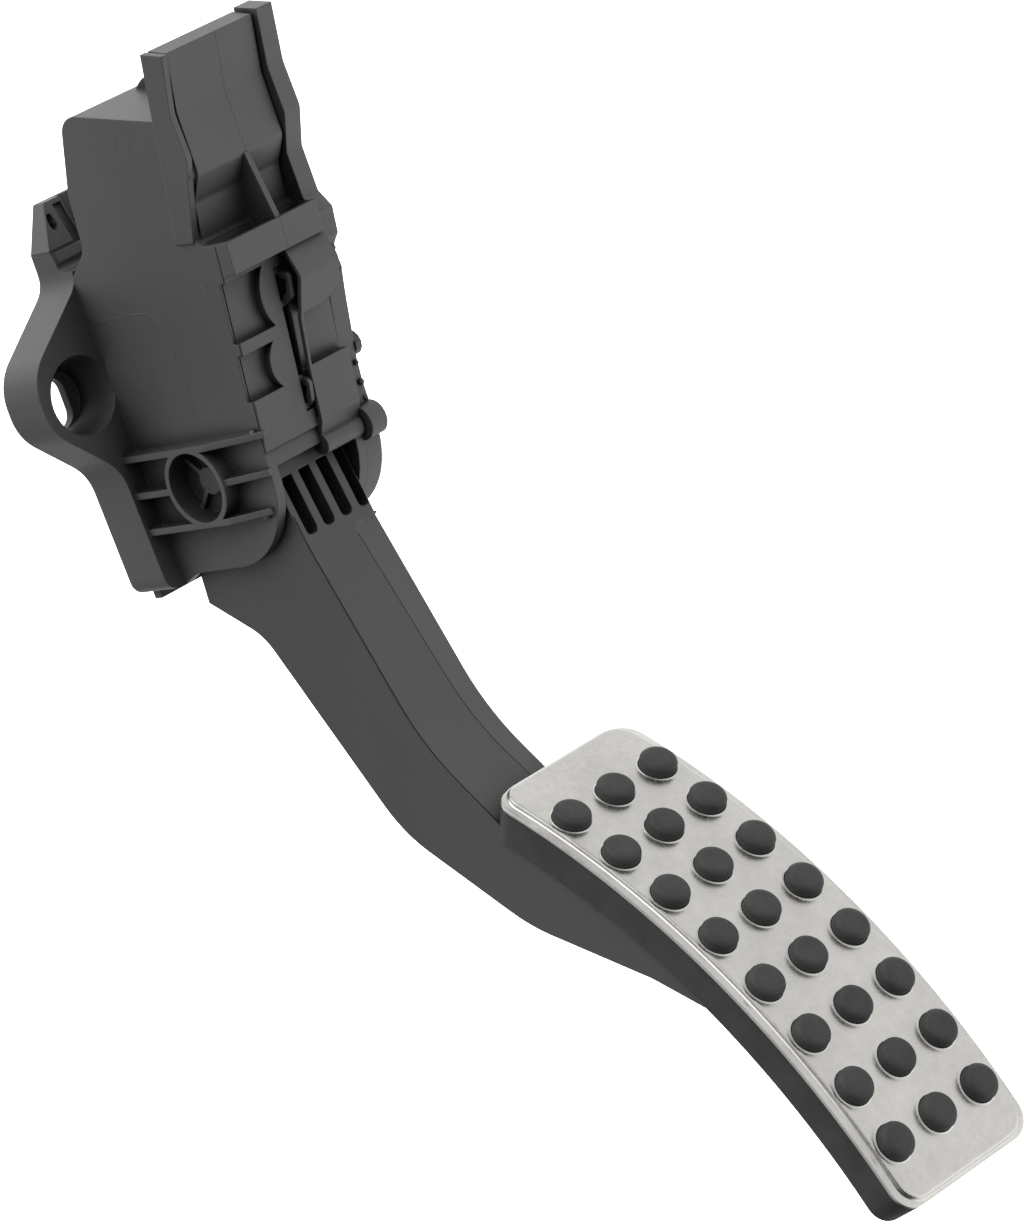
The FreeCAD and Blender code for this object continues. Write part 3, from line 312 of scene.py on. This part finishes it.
def moulded_plastic(name, grey, roughness=0.5, painted_shade=True):
    """Moulded plastic: fine grain, faint flow marks and uneven gloss, with painted shade in corners and
    hollows if asked.
    """
    material, tree, shader = new_material(name)
    place = object_coordinates(tree)
    flow = noise(tree, stretched(tree, place, (1.0, 1.0, 0.35)), scale=38.0, detail=3.0)
    fine = noise(tree, place, scale=2600.0, roughness=0.6)
    dark = (grey * 0.92, grey * 0.92, grey * 0.93)
    light = (grey * 1.07, grey * 1.07, grey * 1.08)
    colour = tint(tree, ramp(tree, flow), dark, light)
    # painted shade: the colour is darkened in corners and hollows, unless that is turned off
    tree.links.new(painted_hollow_shade(tree, colour) if painted_shade else colour, shader.inputs["Base Color"])
    tree.links.new(ramp(tree, fine, roughness - 0.05, roughness + 0.06), shader.inputs["Roughness"])
    surface_relief(tree, shader, fine, GRAIN_DEPTH, edge_radius=EDGE_RADIUS)
    return material


def rubber(name, grey):
    """Matt rubber with a faint cloudy tone and a fine dull grain."""
    material, tree, shader = new_material(name)
    place = object_coordinates(tree)
    cloud = noise(tree, place, scale=120.0, detail=3.0)
    fine = noise(tree, place, scale=1800.0)
    colour = tint(tree, ramp(tree, cloud), (grey * 0.85,) * 3, (grey * 1.15,) * 3)
    gloss = ramp(tree, fine, RUBBER_ROUGHNESS - 0.06, RUBBER_ROUGHNESS + 0.06)
    tree.links.new(colour, shader.inputs["Base Color"])
    tree.links.new(gloss, shader.inputs["Roughness"])
    shader.inputs["Specular IOR Level"].default_value = RUBBER_SPECULAR
    surface_relief(tree, shader, fine, GRAIN_DEPTH)
    return material


def metal(name, colour, roughness):
    """Plain drawn, turned or plated metal with a fine uneven surface."""
    material, tree, shader = new_material(name)
    fine = noise(tree, object_coordinates(tree), scale=900.0, detail=4.0, roughness=0.7)
    dark = tuple(c * 0.9 for c in colour)
    light = tuple(min(c * 1.06, 1.0) for c in colour)
    tree.links.new(tint(tree, ramp(tree, fine), dark, light), shader.inputs["Base Color"])
    tree.links.new(ramp(tree, fine, roughness - 0.06, roughness + 0.08), shader.inputs["Roughness"])
    shader.inputs["Metallic"].default_value = 1.0
    surface_relief(tree, shader, fine, 0.01 * MM)
    return material


def tread_steel():
    """Satin stainless sheet: broad and fine cloudy mottling, with fine specks in tone, gloss and relief."""
    material, tree, shader = new_material("tread_steel")
    place = object_coordinates(tree)
    cloud = noise(tree, place, scale=330.0, detail=4.0, roughness=0.65)
    broad = noise(tree, place, scale=48.0)
    speck = noise(tree, stretched(tree, place, (1.0, 0.45, 0.45)), scale=2300.0, roughness=0.7)
    specks = ramp(tree, speck, high=0.22, start=0.3, end=0.7)
    mottle = math_node(tree, "ADD", ramp(tree, cloud, high=0.40), specks)
    tone = math_node(tree, "ADD", mottle, ramp(tree, broad, high=0.4))
    dark = tuple(c * 0.83 for c in STEEL_COLOUR)
    light = tuple(c * 1.07 for c in STEEL_COLOUR)
    tree.links.new(tint(tree, tone, dark, light), shader.inputs["Base Color"])
    gloss = math_node(tree, "ADD", ramp(tree, cloud, 0.21, 0.27), ramp(tree, speck, high=0.10))
    tree.links.new(gloss, shader.inputs["Roughness"])
    shader.inputs["Metallic"].default_value = 1.0
    relief = math_node(tree, "ADD", math_node(tree, "MULTIPLY", speck, 0.5), cloud)
    surface_relief(tree, shader, relief, 0.022 * MM, strength=0.4)
    return material


def painted_groove_shade():
    """Painted shade: a near-black finish for strips laid where the shade inside a fine groove or parting line
    falls.
    """
    material, tree, shader = new_material("painted_groove_shade")
    tone = ramp(tree, noise(tree, object_coordinates(tree), scale=400.0))
    tree.links.new(tint(tree, tone, (0.004,) * 3, (0.009,) * 3), shader.inputs["Base Color"])
    shader.inputs["Roughness"].default_value = 0.8
    shader.inputs["Specular IOR Level"].default_value = 0.1
    return material


def dress(frame, materials):
    """Gives every node of the frame its material."""
    for name, node in frame["nodes"].items():
        node.data.materials.clear()
        node.data.materials.append(materials[name])


def smooth(obj):
    """Smooth shading with sharp edges kept, set on the mesh itself."""
    mesh = obj.data
    mesh.shade_smooth()
    mesh.set_sharp_from_angle(angle=math.radians(SHARP_ANGLE))


def new_piece(name, made, material, body=None):
    """A piece from a finished mesh, with its finish and the body that it rides on, if any."""
    mesh = bpy.data.meshes.new(name)
    bmesh.ops.recalc_face_normals(made, faces=made.faces)
    made.to_mesh(mesh)
    made.free()
    obj = bpy.data.objects.new(name, mesh)
    bpy.context.scene.collection.objects.link(obj)
    mesh.materials.append(material)
    smooth(obj)
    if body:
        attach(obj, body)
    return obj


def pad_point(across, down, height):
    """A place on the bent pad, in metres: down its curve from the top edge, and above the rubber's face."""
    tilt = math.radians(PAD_TILT)
    turn = tilt + (PAD_LENGTH / 2 - down) / PAD_RADIUS
    radius = PAD_RADIUS + height
    y = PAD_Y + PAD_RADIUS * math.cos(tilt) - radius * math.cos(turn)
    z = PAD_Z - PAD_RADIUS * math.sin(tilt) + radius * math.sin(turn)
    return Vector((PAD_X + across, y, z)) * MM


def bend_round_pad(made):
    """Cuts a flat pad mesh across at even steps and bends it round the pad's curve."""
    for i in range(1, int(PAD_LENGTH / BEND_STEP)):
        geometry = made.verts[:] + made.edges[:] + made.faces[:]
        bmesh.ops.bisect_plane(made, geom=geometry, dist=0.0001,
                               plane_co=(0.0, i * BEND_STEP, 0.0), plane_no=(0.0, 1.0, 0.0))
    for vertex in made.verts:
        vertex.co = pad_point(*vertex.co)


def between(start, end, steps):
    """Even places from the start to the end, without the end."""
    return [start + (end - start) * i / steps for i in range(steps)]


def pad_loop(made, half_width, top, bottom, corner, height):
    """A closed ring of vertices round the flat pad: a rectangle with rounded corners, between two ends."""
    x = half_width - corner
    low = top + corner
    high = PAD_LENGTH - bottom - corner
    corners = ((x, high, 0), (-x, high, 90), (-x, low, 180), (x, low, 270))
    points = []
    for i, (centre_x, centre_y, start) in enumerate(corners):
        centre = Vector((centre_x, centre_y, height))
        for step in range(CORNER_STEPS + 1):
            turn = math.radians(start + 90 * step / CORNER_STEPS)
            points.append(centre + corner * Vector((math.cos(turn), math.sin(turn), 0)))
        next_x, next_y, next_start = corners[(i + 1) % 4]
        turn = math.radians(next_start)
        next_centre = Vector((next_x, next_y, height))
        following = next_centre + corner * Vector((math.cos(turn), math.sin(turn), 0))
        steps = SHORT_STEPS if i % 2 == 0 else LONG_STEPS
        points += between(points[-1], following, steps)[1:]
    return [made.verts.new(p) for p in points]


def round_loop(made, centre, radius, height):
    """A closed ring of vertices round a place on the flat pad."""
    x, y = centre
    turns = [2 * math.pi * i / ROUND_STEPS for i in range(ROUND_STEPS)]
    return [made.verts.new((x + radius * math.cos(t), y + radius * math.sin(t), height)) for t in turns]


def bridge(made, loops):
    """Faces between each ring of vertices and the next."""
    for first, second in zip(loops, loops[1:]):
        count = len(first)
        for i in range(count):
            j = (i + 1) % count
            made.faces.new((first[i], first[j], second[j], second[i]))


def closing_edges(made, loop):
    """The edges round a closed ring of vertices."""
    count = len(loop)
    edges = []
    for i in range(count):
        pair = (loop[i], loop[(i + 1) % count])
        edges.append(made.edges.get(pair) or made.edges.new(pair))
    return edges


def stud_places():
    """The middle of each stud on the flat pad."""
    for row in range(STUD_ROWS):
        for column in range(STUD_COLUMNS):
            yield ((column - (STUD_COLUMNS - 1) / 2) * COLUMN_PITCH, FIRST_ROW + row * ROW_PITCH)


# Sections through the edges of the sheet, its field and the rubber: how far in, and the height
FLANGE_EDGE = ((1.6, 0.0), (0.12, 0.0), (0.0, 0.12), (0.0, SHEET - 0.25), (0.08, SHEET - 0.08), (0.25, SHEET))
STEP_SECTION = ((-0.75, SHEET), (-0.35, SHEET + 0.08), (-0.1, SHEET + 0.3), (0.0, SHEET + 0.55),
                (0.06, FIELD_HEIGHT - 0.4), (0.25, FIELD_HEIGHT - 0.14), (0.55, FIELD_HEIGHT - 0.03),
                (0.9, FIELD_HEIGHT))
SKIN_EDGE = ((2.0, 1.5 - PAD_THICKNESS), (2.0, 0.3 - PAD_THICKNESS), (1.8, -PAD_THICKNESS),
             (0.9, -PAD_THICKNESS), (0.4, 0.15 - PAD_THICKNESS), (0.1, 0.5 - PAD_THICKNESS),
             (0.0, 1.0 - PAD_THICKNESS), (0.0, -0.9), (0.08, -0.4), (0.3, -0.1), (0.7, 0.0))
# Sections round a stud, from outside in: radius and height
HOLE_RIM = ((5.9, FIELD_HEIGHT), (5.5, FIELD_HEIGHT), (5.25, FIELD_HEIGHT + 0.04), (5.1, FIELD_HEIGHT + 0.12),
            (4.98, FIELD_HEIGHT + 0.15), (4.9, FIELD_HEIGHT + 0.08), (4.84, FIELD_HEIGHT - 0.1),
            (4.83, FIELD_HEIGHT - 0.75))
STUD_SECTION = ((5.6, 1.1), (4.8, 1.15), (4.75, 1.8), (4.75, 3.5), (4.7, 4.0), (4.5, 4.45), (4.15, 4.85),
                (3.75, 5.12), (3.35, 5.25), (3.0, 5.3), (1.2, 5.33))
STUD_TOP = 5.34


def tread_plate(material):
    """The pressed steel sheet, bent smoothly, with a rolled rim round each stud."""
    made = bmesh.new()
    wide = PAD_HALF_WIDTH + TREAD_OVERHANG
    corner = PAD_CORNER + TREAD_OVERHANG
    loops = [pad_loop(made, wide - inwards, inwards, PLATE_SHORT + inwards, corner - inwards, height)
             for inwards, height in FLANGE_EDGE]
    field = wide - TREAD_MARGIN
    for inwards, height in STEP_SECTION:
        loops.append(pad_loop(made, field - inwards, FIELD_TOP_MARGIN + inwards, TREAD_MARGIN + inwards,
                              PAD_CORNER - inwards, height))
    bridge(made, loops)
    edges = closing_edges(made, loops[-1])
    rims = []
    for centre in stud_places():
        rim = [round_loop(made, centre, radius, height) for radius, height in HOLE_RIM]
        edges += closing_edges(made, rim[0])
        rims.append(rim)
    bmesh.ops.triangle_fill(made, use_beauty=True, use_dissolve=False, edges=edges, normal=(0.0, 0.0, 1.0))
    for rim in rims:
        bridge(made, rim)
    bend_round_pad(made)
    plate = new_piece("tread_sheet", made, material, "pedal")
    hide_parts("tread_plate")


def rubber_skin(material):
    """The rubber cover, bent smoothly, with its 24 round studs."""
    made = bmesh.new()
    loops = [pad_loop(made, PAD_HALF_WIDTH - inwards, inwards, PLATE_SHORT + inwards,
                      PAD_CORNER - inwards, height)
             for inwards, height in SKIN_EDGE]
    bridge(made, loops)
    bmesh.ops.triangle_fill(made, use_beauty=True, use_dissolve=False, edges=closing_edges(made, loops[-1]),
                            normal=(0.0, 0.0, 1.0))
    for centre in stud_places():
        rings = [round_loop(made, centre, radius, height) for radius, height in STUD_SECTION]
        bridge(made, rings)
        top = made.verts.new((*centre, STUD_TOP))
        for i in range(ROUND_STEPS):
            made.faces.new((rings[-1][i], rings[-1][(i + 1) % ROUND_STEPS], top))
    bend_round_pad(made)
    skin = new_piece("pad_cover", made, material, "pedal")
    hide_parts("rubber_pad")


def return_coil(which, material):
    """A round-wire spring that stays as made, from its top in the housing down to its foot at the arm's heel.
    """
    radius, wire, turns, hand = SPRINGS[which]
    made = bmesh.new()
    steps = turns * COIL_STEPS
    rise = SPRING_TOP - SPRING_FOOT - wire
    rings = []
    for i in range(steps + 1):
        turn = 2 * math.pi * i / COIL_STEPS
        outwards = Vector((math.cos(turn), hand * math.sin(turn), 0.0))
        middle = Vector((SPRING_X, SPRING_Y, SPRING_FOOT + wire / 2 + rise * i / steps)) + radius * outwards
        ring = []
        for k in range(WIRE_STEPS):
            around = 2 * math.pi * k / WIRE_STEPS
            offset = math.cos(around) * outwards + Vector((0.0, 0.0, math.sin(around)))
            ring.append(made.verts.new((middle + offset * wire / 2) * MM))
        rings.append(ring)
    bridge(made, rings)
    made.faces.new(rings[0])
    made.faces.new(rings[-1])
    coil = new_piece("round_coil_" + which, made, material)
    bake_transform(coil)
    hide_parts("return_spring_" + which)


def cast_on(frame, name, starts, ray):
    """Where rays from the starting places, in millimetres, first meet this node, each with its normal."""
    mesh = frame["nodes"][name].data
    vertices = [v.co for v in mesh.vertices]
    faces = [face.vertices[:] for face in mesh.polygons]
    surface = BVHTree.FromPolygons(vertices, faces)
    met = []
    for start in starts:
        place, normal, _, _ = surface.ray_cast(Vector(start) * MM, ray)
        if place is not None:
            met.append((place, normal if normal.dot(ray) < 0 else -normal))
    return met


def unbroken(met):
    """The places up to the first gap that is too long."""
    kept = met[:1]
    for found in met[1:]:
        if (found[0] - kept[-1][0]).length > LONGEST_GAP * MM:
            break
        kept.append(found)
    return kept


def on_left_wall(met):
    """The places that lie on the housing's left wall, not deeper inside."""
    return [found for found in met if abs(found[0].x / MM - HOUSING_LEFT) < WALL_DEPTH]


def along(corners, step=LINE_STEP):
    """Places at about even steps along the straight runs between the corners."""
    places = [Vector(corners[0])]
    for start, end in zip(corners, corners[1:]):
        run = Vector(end) - Vector(start)
        count = max(1, round(run.length / step))
        places += [Vector(start) + run * (i + 1) / count for i in range(count)]
    return places


def surface_line(name, met, width, lift, material, slot, body):
    """A fine low line that lies along a surface, flat on top, its foot sunk just under the surface."""
    made = bmesh.new()
    rings = []
    last = len(met) - 1
    for i, (place, normal) in enumerate(met):
        before = met[max(i - 1, 0)][0]
        after = met[min(i + 1, last)][0]
        side = normal.cross(after - before).normalized() * (width / 2) * MM
        top = normal * lift * MM
        foot = normal * -LINE_FOOT * MM
        upper = side * LINE_TAPER
        corners = (place - side + foot, place - upper + top, place + upper + top, place + side + foot)
        rings.append([made.verts.new(corner) for corner in corners])
    made.faces.new(rings[0])
    made.faces.new(rings[-1][::-1])
    bridge(made, rings)
    new_piece(name, made, material, body)


def before_wall(corners):
    """Places left of the housing for corners on its left wall, given as (y, z)."""
    return [(BEFORE_WALL, y, z) for y, z in corners]


def ring_places(centre, radius, start=0.0, end=360.0, steps=28):
    """Places round a circle on the housing's left, given by its middle as (y, z)."""
    y, z = centre
    turns = [math.radians(start + (end - start) * i / steps) for i in range(steps + 1)]
    return [(BEFORE_WALL, y + radius * math.cos(t), z + radius * math.sin(t)) for t in turns]


def arm_lines(frame, groove_shade):
    """Painted shade of the fine grooves down the arm's front: dark strips, one along its left edge, one along
    the crease.
    """
    backwards = Vector((0, 1, 0))
    edge = along([(ARM_LEFT + ARM_EDGE_IN, BEFORE_ARM, z) for z in (ARM_EDGE_TOP, ARM_LINE_LOW)])
    met = unbroken(cast_on(frame, "pedal_arm", edge, backwards))
    surface_line("arm_edge_groove_shade", met, *EDGE_GROOVE_SHADE, groove_shade, "arm_plastic", "pedal")
    crease = along([(CREASE_X - CREASE_LEAN * z, BEFORE_ARM, z) for z in (CREASE_TOP, ARM_LINE_LOW)])
    met = unbroken(cast_on(frame, "pedal_arm", crease, backwards))
    surface_line("arm_crease_groove_shade", met, *CREASE_GROOVE_SHADE, groove_shade, "arm_plastic", "pedal")


def panel_edge(z):
    """How far forward the left front panel reaches at this height."""
    share = (z - PANEL_LOW[1]) / (PANEL_HIGH[1] - PANEL_LOW[1])
    return PANEL_LOW[0] + share * (PANEL_HIGH[0] - PANEL_LOW[0])


def housing_lines(frame, groove_shade, pale):
    """Parting lines laid as strips of painted shade, and ejector marks and the outline of the grained panel
    on the left wall.
    """
    corners = [GROOVE_TOP, (panel_edge(GROOVE_BEND) + GROOVE_BACK, GROOVE_BEND)]
    for top, bottom in WINDOWS:
        for z, back in ((top, GROOVE_BACK), (top, WINDOW_BACK), (bottom, WINDOW_BACK), (bottom, GROOVE_BACK)):
            corners.append((panel_edge(z) + back, z))
    corners.append((panel_edge(PANEL_LOW[1]) + GROOVE_BACK, PANEL_LOW[1]))
    places = along(before_wall(corners), CORNER_LINE_STEP)
    to_right = Vector((1, 0, 0))
    met = on_left_wall(cast_on(frame, "housing_shell", places, to_right))
    surface_line("corner_groove_shade", met, *CORNER_GROOVE_SHADE, groove_shade, "housing_plastic", "housing")
    marks = {
        "ejector_mark_upper": ring_places(UPPER_MARK, UPPER_MARK_RADIUS),
        "ejector_mark_lower": ring_places(LOWER_MARK, LOWER_MARK_RADIUS, start=20.0, end=200.0, steps=12),
        "flange_root_edge": along(before_wall(FLANGE_ROOT)),
        "grained_panel_edge": along(before_wall(GRAINED_PANEL)),
    }
    for name, places in marks.items():
        met = cast_on(frame, "housing_shell", places, to_right)
        surface_line(name, met, *PALE_LINE, pale, "housing_plastic", "housing")


def knob(made, place, radius):
    """A small ball, partly sunk in what it stands on."""
    bmesh.ops.create_uvsphere(made, u_segments=16, v_segments=10, radius=radius * MM,
                              matrix=Matrix.Translation(Vector(place) * MM))


def moulded_knobs(plastic):
    """Rounded ends of the ribs beside the pivot, and the small nubs down the sensor cover's front edge."""
    made = bmesh.new()
    for y, z in RIB_ENDS:
        knob(made, (HOUSING_LEFT - RIB_END_STAND, y, z), RIB_END_RADIUS)
    new_piece("rib_ends", made, plastic, "housing")
    made = bmesh.new()
    for y, z, radius in COVER_NUBS:
        knob(made, (HOUSING_RIGHT - NUB_SINK, y, z), radius)
    new_piece("cover_nubs", made, plastic, "housing")


def side_name(side):
    """The word for a side, -1 or 1."""
    return "left" if side < 0 else "right"


def slope_y(z):
    """How far forward the flange's sloping face lies at this height."""
    (low_y, low_z), (high_y, high_z) = GUIDE_SLOPE
    return low_y + (z - low_z) / (high_z - low_z) * (high_y - low_y)


def flange_side_x(z):
    """The flange's left side at this height, beside a guide hole."""
    (top_x, top_z), (foot_x, foot_z) = FLANGE_SIDE
    return top_x + (top_z - z) / (top_z - foot_z) * (foot_x - top_x)


def guide_insert(side, plastic):
    """The block round a guide hole: an oval hole in a face that lies flush in the flange's slope."""
    made = bmesh.new()
    top = FLANGE_SIDE[0][1] - GUIDE_PROUD
    low = FLANGE_SIDE[1][1]
    corners = [Vector((flange_side_x(top), top)), Vector((flange_side_x(low), low)),
               Vector((GUIDE_INNER, low)), Vector((GUIDE_INNER, top))]
    rim = []
    for i, corner in enumerate(corners):
        rim += between(corner, corners[(i + 1) % 4], GUIDE_STEPS)
    middle = Vector(GUIDE_HOLE)
    rings = [[], [], [], []]
    for place in rim:
        turn = math.atan2(place.y - middle.y, place.x - middle.x)
        reach = Vector((GUIDE_HOLE_HALF_WIDTH * math.cos(turn), GUIDE_HOLE_HALF_HEIGHT * math.sin(turn)))
        oval = middle + reach
        section = ((place, GUIDE_BACK), (place, slope_y(place.y) - GUIDE_PROUD),
                   (oval, slope_y(oval.y) - GUIDE_PROUD), (oval, GUIDE_BACK))
        for ring, (spot, y) in zip(rings, section):
            ring.append(made.verts.new(Vector((-side * (spot.x - GUIDE_SIDE_PROUD), y, spot.y)) * MM))
    bridge(made, rings + rings[:1])
    new_piece("guide_eye_" + side_name(side), made, plastic, "housing")


def guide_sill(side, plastic):
    """The flush foot of the frame below a guide block."""
    made = bmesh.new()
    rings = []
    for depth in (SILL_DEPTH, -SILL_PROUD):
        places = [(FRAME_INNER, FRAME_LOW), (FRAME_INNER, FRAME_HIGH),
                  (FRAME_OUTER, FRAME_HIGH), (FRAME_OUTER, FRAME_LOW)]
        rings.append([made.verts.new(Vector((-side * x, slope_y(z) + depth, z)) * MM) for x, z in places])
    bridge(made, rings)
    for ring in rings:
        made.faces.new(ring)
    new_piece("guide_sill_" + side_name(side), made, plastic, "housing")


def camera():
    """The photograph's own view."""
    data = bpy.data.cameras.new("camera")
    data.sensor_fit = "AUTO"
    data.sensor_width = SENSOR
    data.lens = FOCAL_PIXELS * SENSOR / FRAME_HEIGHT
    data.clip_start = 0.05
    data.clip_end = 20.0
    obj = bpy.data.objects.new("camera", data)
    bpy.context.scene.collection.objects.link(obj)
    turn = Matrix.Rotation(math.radians(-CAMERA_AZIMUTH), 4, "Z")
    dip = Matrix.Rotation(math.radians(90.0 - CAMERA_DIP), 4, "X")
    roll = Matrix.Rotation(math.radians(CAMERA_ROLL), 4, "Z")
    obj.matrix_world = Matrix.Translation(CAMERA_PLACE) @ turn @ dip @ roll
    bpy.context.scene.camera = obj


def studio_white():
    """The white of the floor and the backdrop, which glow so that they stay even."""
    material, tree, shader = new_material("studio_white")
    tone = ramp(tree, noise(tree, object_coordinates(tree), scale=0.5))
    tree.links.new(tint(tree, tone, (0.92,) * 3, (0.94,) * 3), shader.inputs["Base Color"])
    shader.inputs["Roughness"].default_value = 0.9
    shader.inputs["Emission Color"].default_value = (1.0, 1.0, 1.0, 1.0)
    shader.inputs["Emission Strength"].default_value = 1.0
    return material


def stage_piece(name, made, material):
    """A piece round the object that the camera sees, but that gives no light, shade or reflection."""
    mesh = bpy.data.meshes.new(name)
    made.to_mesh(mesh)
    made.free()
    mesh.shade_smooth()
    mesh.materials.append(material)
    obj = bpy.data.objects.new(name, mesh)
    bpy.context.scene.collection.objects.link(obj)
    obj.visible_diffuse = False
    obj.visible_glossy = False
    obj.visible_transmission = False
    obj.visible_shadow = False


def backdrop():
    """A white floor well below the hung pedal, and a white dome round it."""
    white = studio_white()
    floor = bmesh.new()
    bmesh.ops.create_circle(floor, cap_ends=True, segments=64, radius=BACKDROP_RADIUS,
                            matrix=Matrix.Translation((0.0, 0.0, FLOOR_LEVEL)))
    stage_piece("floor", floor, white)
    dome = bmesh.new()
    bmesh.ops.create_icosphere(dome, subdivisions=4, radius=BACKDROP_RADIUS)
    stage_piece("dome", dome, white)


def lighting():
    """Soft light from broad lobes round the pedal, strongest from above, as inside a white tent."""
    world = bpy.data.worlds.new("studio")
    bpy.context.scene.world = world
    world.use_nodes = True
    tree = world.node_tree
    direction = tree.nodes.new("ShaderNodeTexCoord").outputs["Generated"]
    light = FILL_LIGHT
    for towards, full, none, brightness in LOBES.values():
        facing = tree.nodes.new("ShaderNodeVectorMath")
        facing.operation = "DOT_PRODUCT"
        facing.inputs[1].default_value = Vector(towards).normalized()
        tree.links.new(direction, facing.inputs[0])
        lobe = tree.nodes.new("ShaderNodeMapRange")
        lobe.interpolation_type = "SMOOTHSTEP"
        lobe.inputs["From Min"].default_value = math.cos(math.radians(none))
        lobe.inputs["From Max"].default_value = math.cos(math.radians(full))
        lobe.inputs["To Max"].default_value = brightness
        tree.links.new(facing.outputs["Value"], lobe.inputs["Value"])
        light = math_node(tree, "MAXIMUM", lobe.outputs["Result"], light)
    tree.links.new(light, tree.nodes["Background"].inputs["Strength"])
    tree.nodes["Background"].inputs["Color"].default_value = (1.0, 1.0, 1.0, 1.0)


def node_materials():
    """The material of each node."""
    housing = moulded_plastic("housing_plastic", HOUSING_GREY)
    bush = moulded_plastic("bush_plastic", grey=0.6, roughness=0.45)
    spring = metal("spring_steel", (0.42, 0.42, 0.44), roughness=0.35)
    seat = moulded_plastic("seat_plastic", grey=0.05, roughness=0.45)
    bumper = rubber("bumper_rubber", grey=0.02)
    return {
        "housing_shell": housing,
        "right_shell": housing,
        "sensor_cover": housing,
        "pedal_arm": moulded_plastic("arm_plastic", ARM_GREY, roughness=0.48),
        "rubber_pad": rubber("pad_rubber", RUBBER_GREY),
        "tread_plate": tread_steel(),
        "pivot_shaft": metal("shaft_steel", (0.6, 0.6, 0.62), roughness=0.25),
        "pivot_bush_left": bush,
        "pivot_bush_right": bush,
        "magnet_carrier": bush,
        "return_spring_outer": spring,
        "return_spring_inner": spring,
        "lower_spring_seat": seat,
        "upper_spring_seat": seat,
        "rest_bumper": bumper,
        "full_travel_bumper": bumper,
        "sensor_board": moulded_plastic("board_laminate", grey=0.05, roughness=0.3),
        "hall_sensor": moulded_plastic("chip_plastic", grey=0.02, roughness=0.4),
        "terminal_pins": metal("pin_metal", (0.8, 0.66, 0.4), roughness=0.3),
        "magnets": metal("magnet_metal", (0.3, 0.3, 0.32), roughness=0.45),
        "housing_screws": metal("screw_steel", (0.07, 0.07, 0.075), roughness=0.4),
    }


def main():
    """Dresses the fixed frame, adds the fine pieces, and sets up the camera and the light."""
    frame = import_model()
    bpy.context.scene.view_settings.view_transform = "Standard"
    materials = node_materials()
    dress(frame, materials)
    for node in frame["nodes"].values():
        smooth(node)
    tread_plate(materials["tread_plate"])
    rubber_skin(materials["rubber_pad"])
    for which in SPRINGS:
        return_coil(which, materials["return_spring_" + which])
    housing = materials["housing_shell"]
    # near-black strips of painted shade along fine grooves and parting lines
    groove_shade = painted_groove_shade()
    arm_lines(frame, groove_shade)
    housing_lines(frame, groove_shade, moulded_plastic("housing_highlight", PALE_GREY, roughness=0.42))
    moulded_knobs(housing)
    # painted light: the guide blocks get a paler grey with no painted shade, so that their faces look lit
    flange = moulded_plastic("lit_flange_plastic", LIT_FLANGE_GREY, painted_shade=False)
    for side in (-1, 1):
        guide_insert(side, flange)
        guide_sill(side, flange)
    camera()
    lighting()
    backdrop()


main()
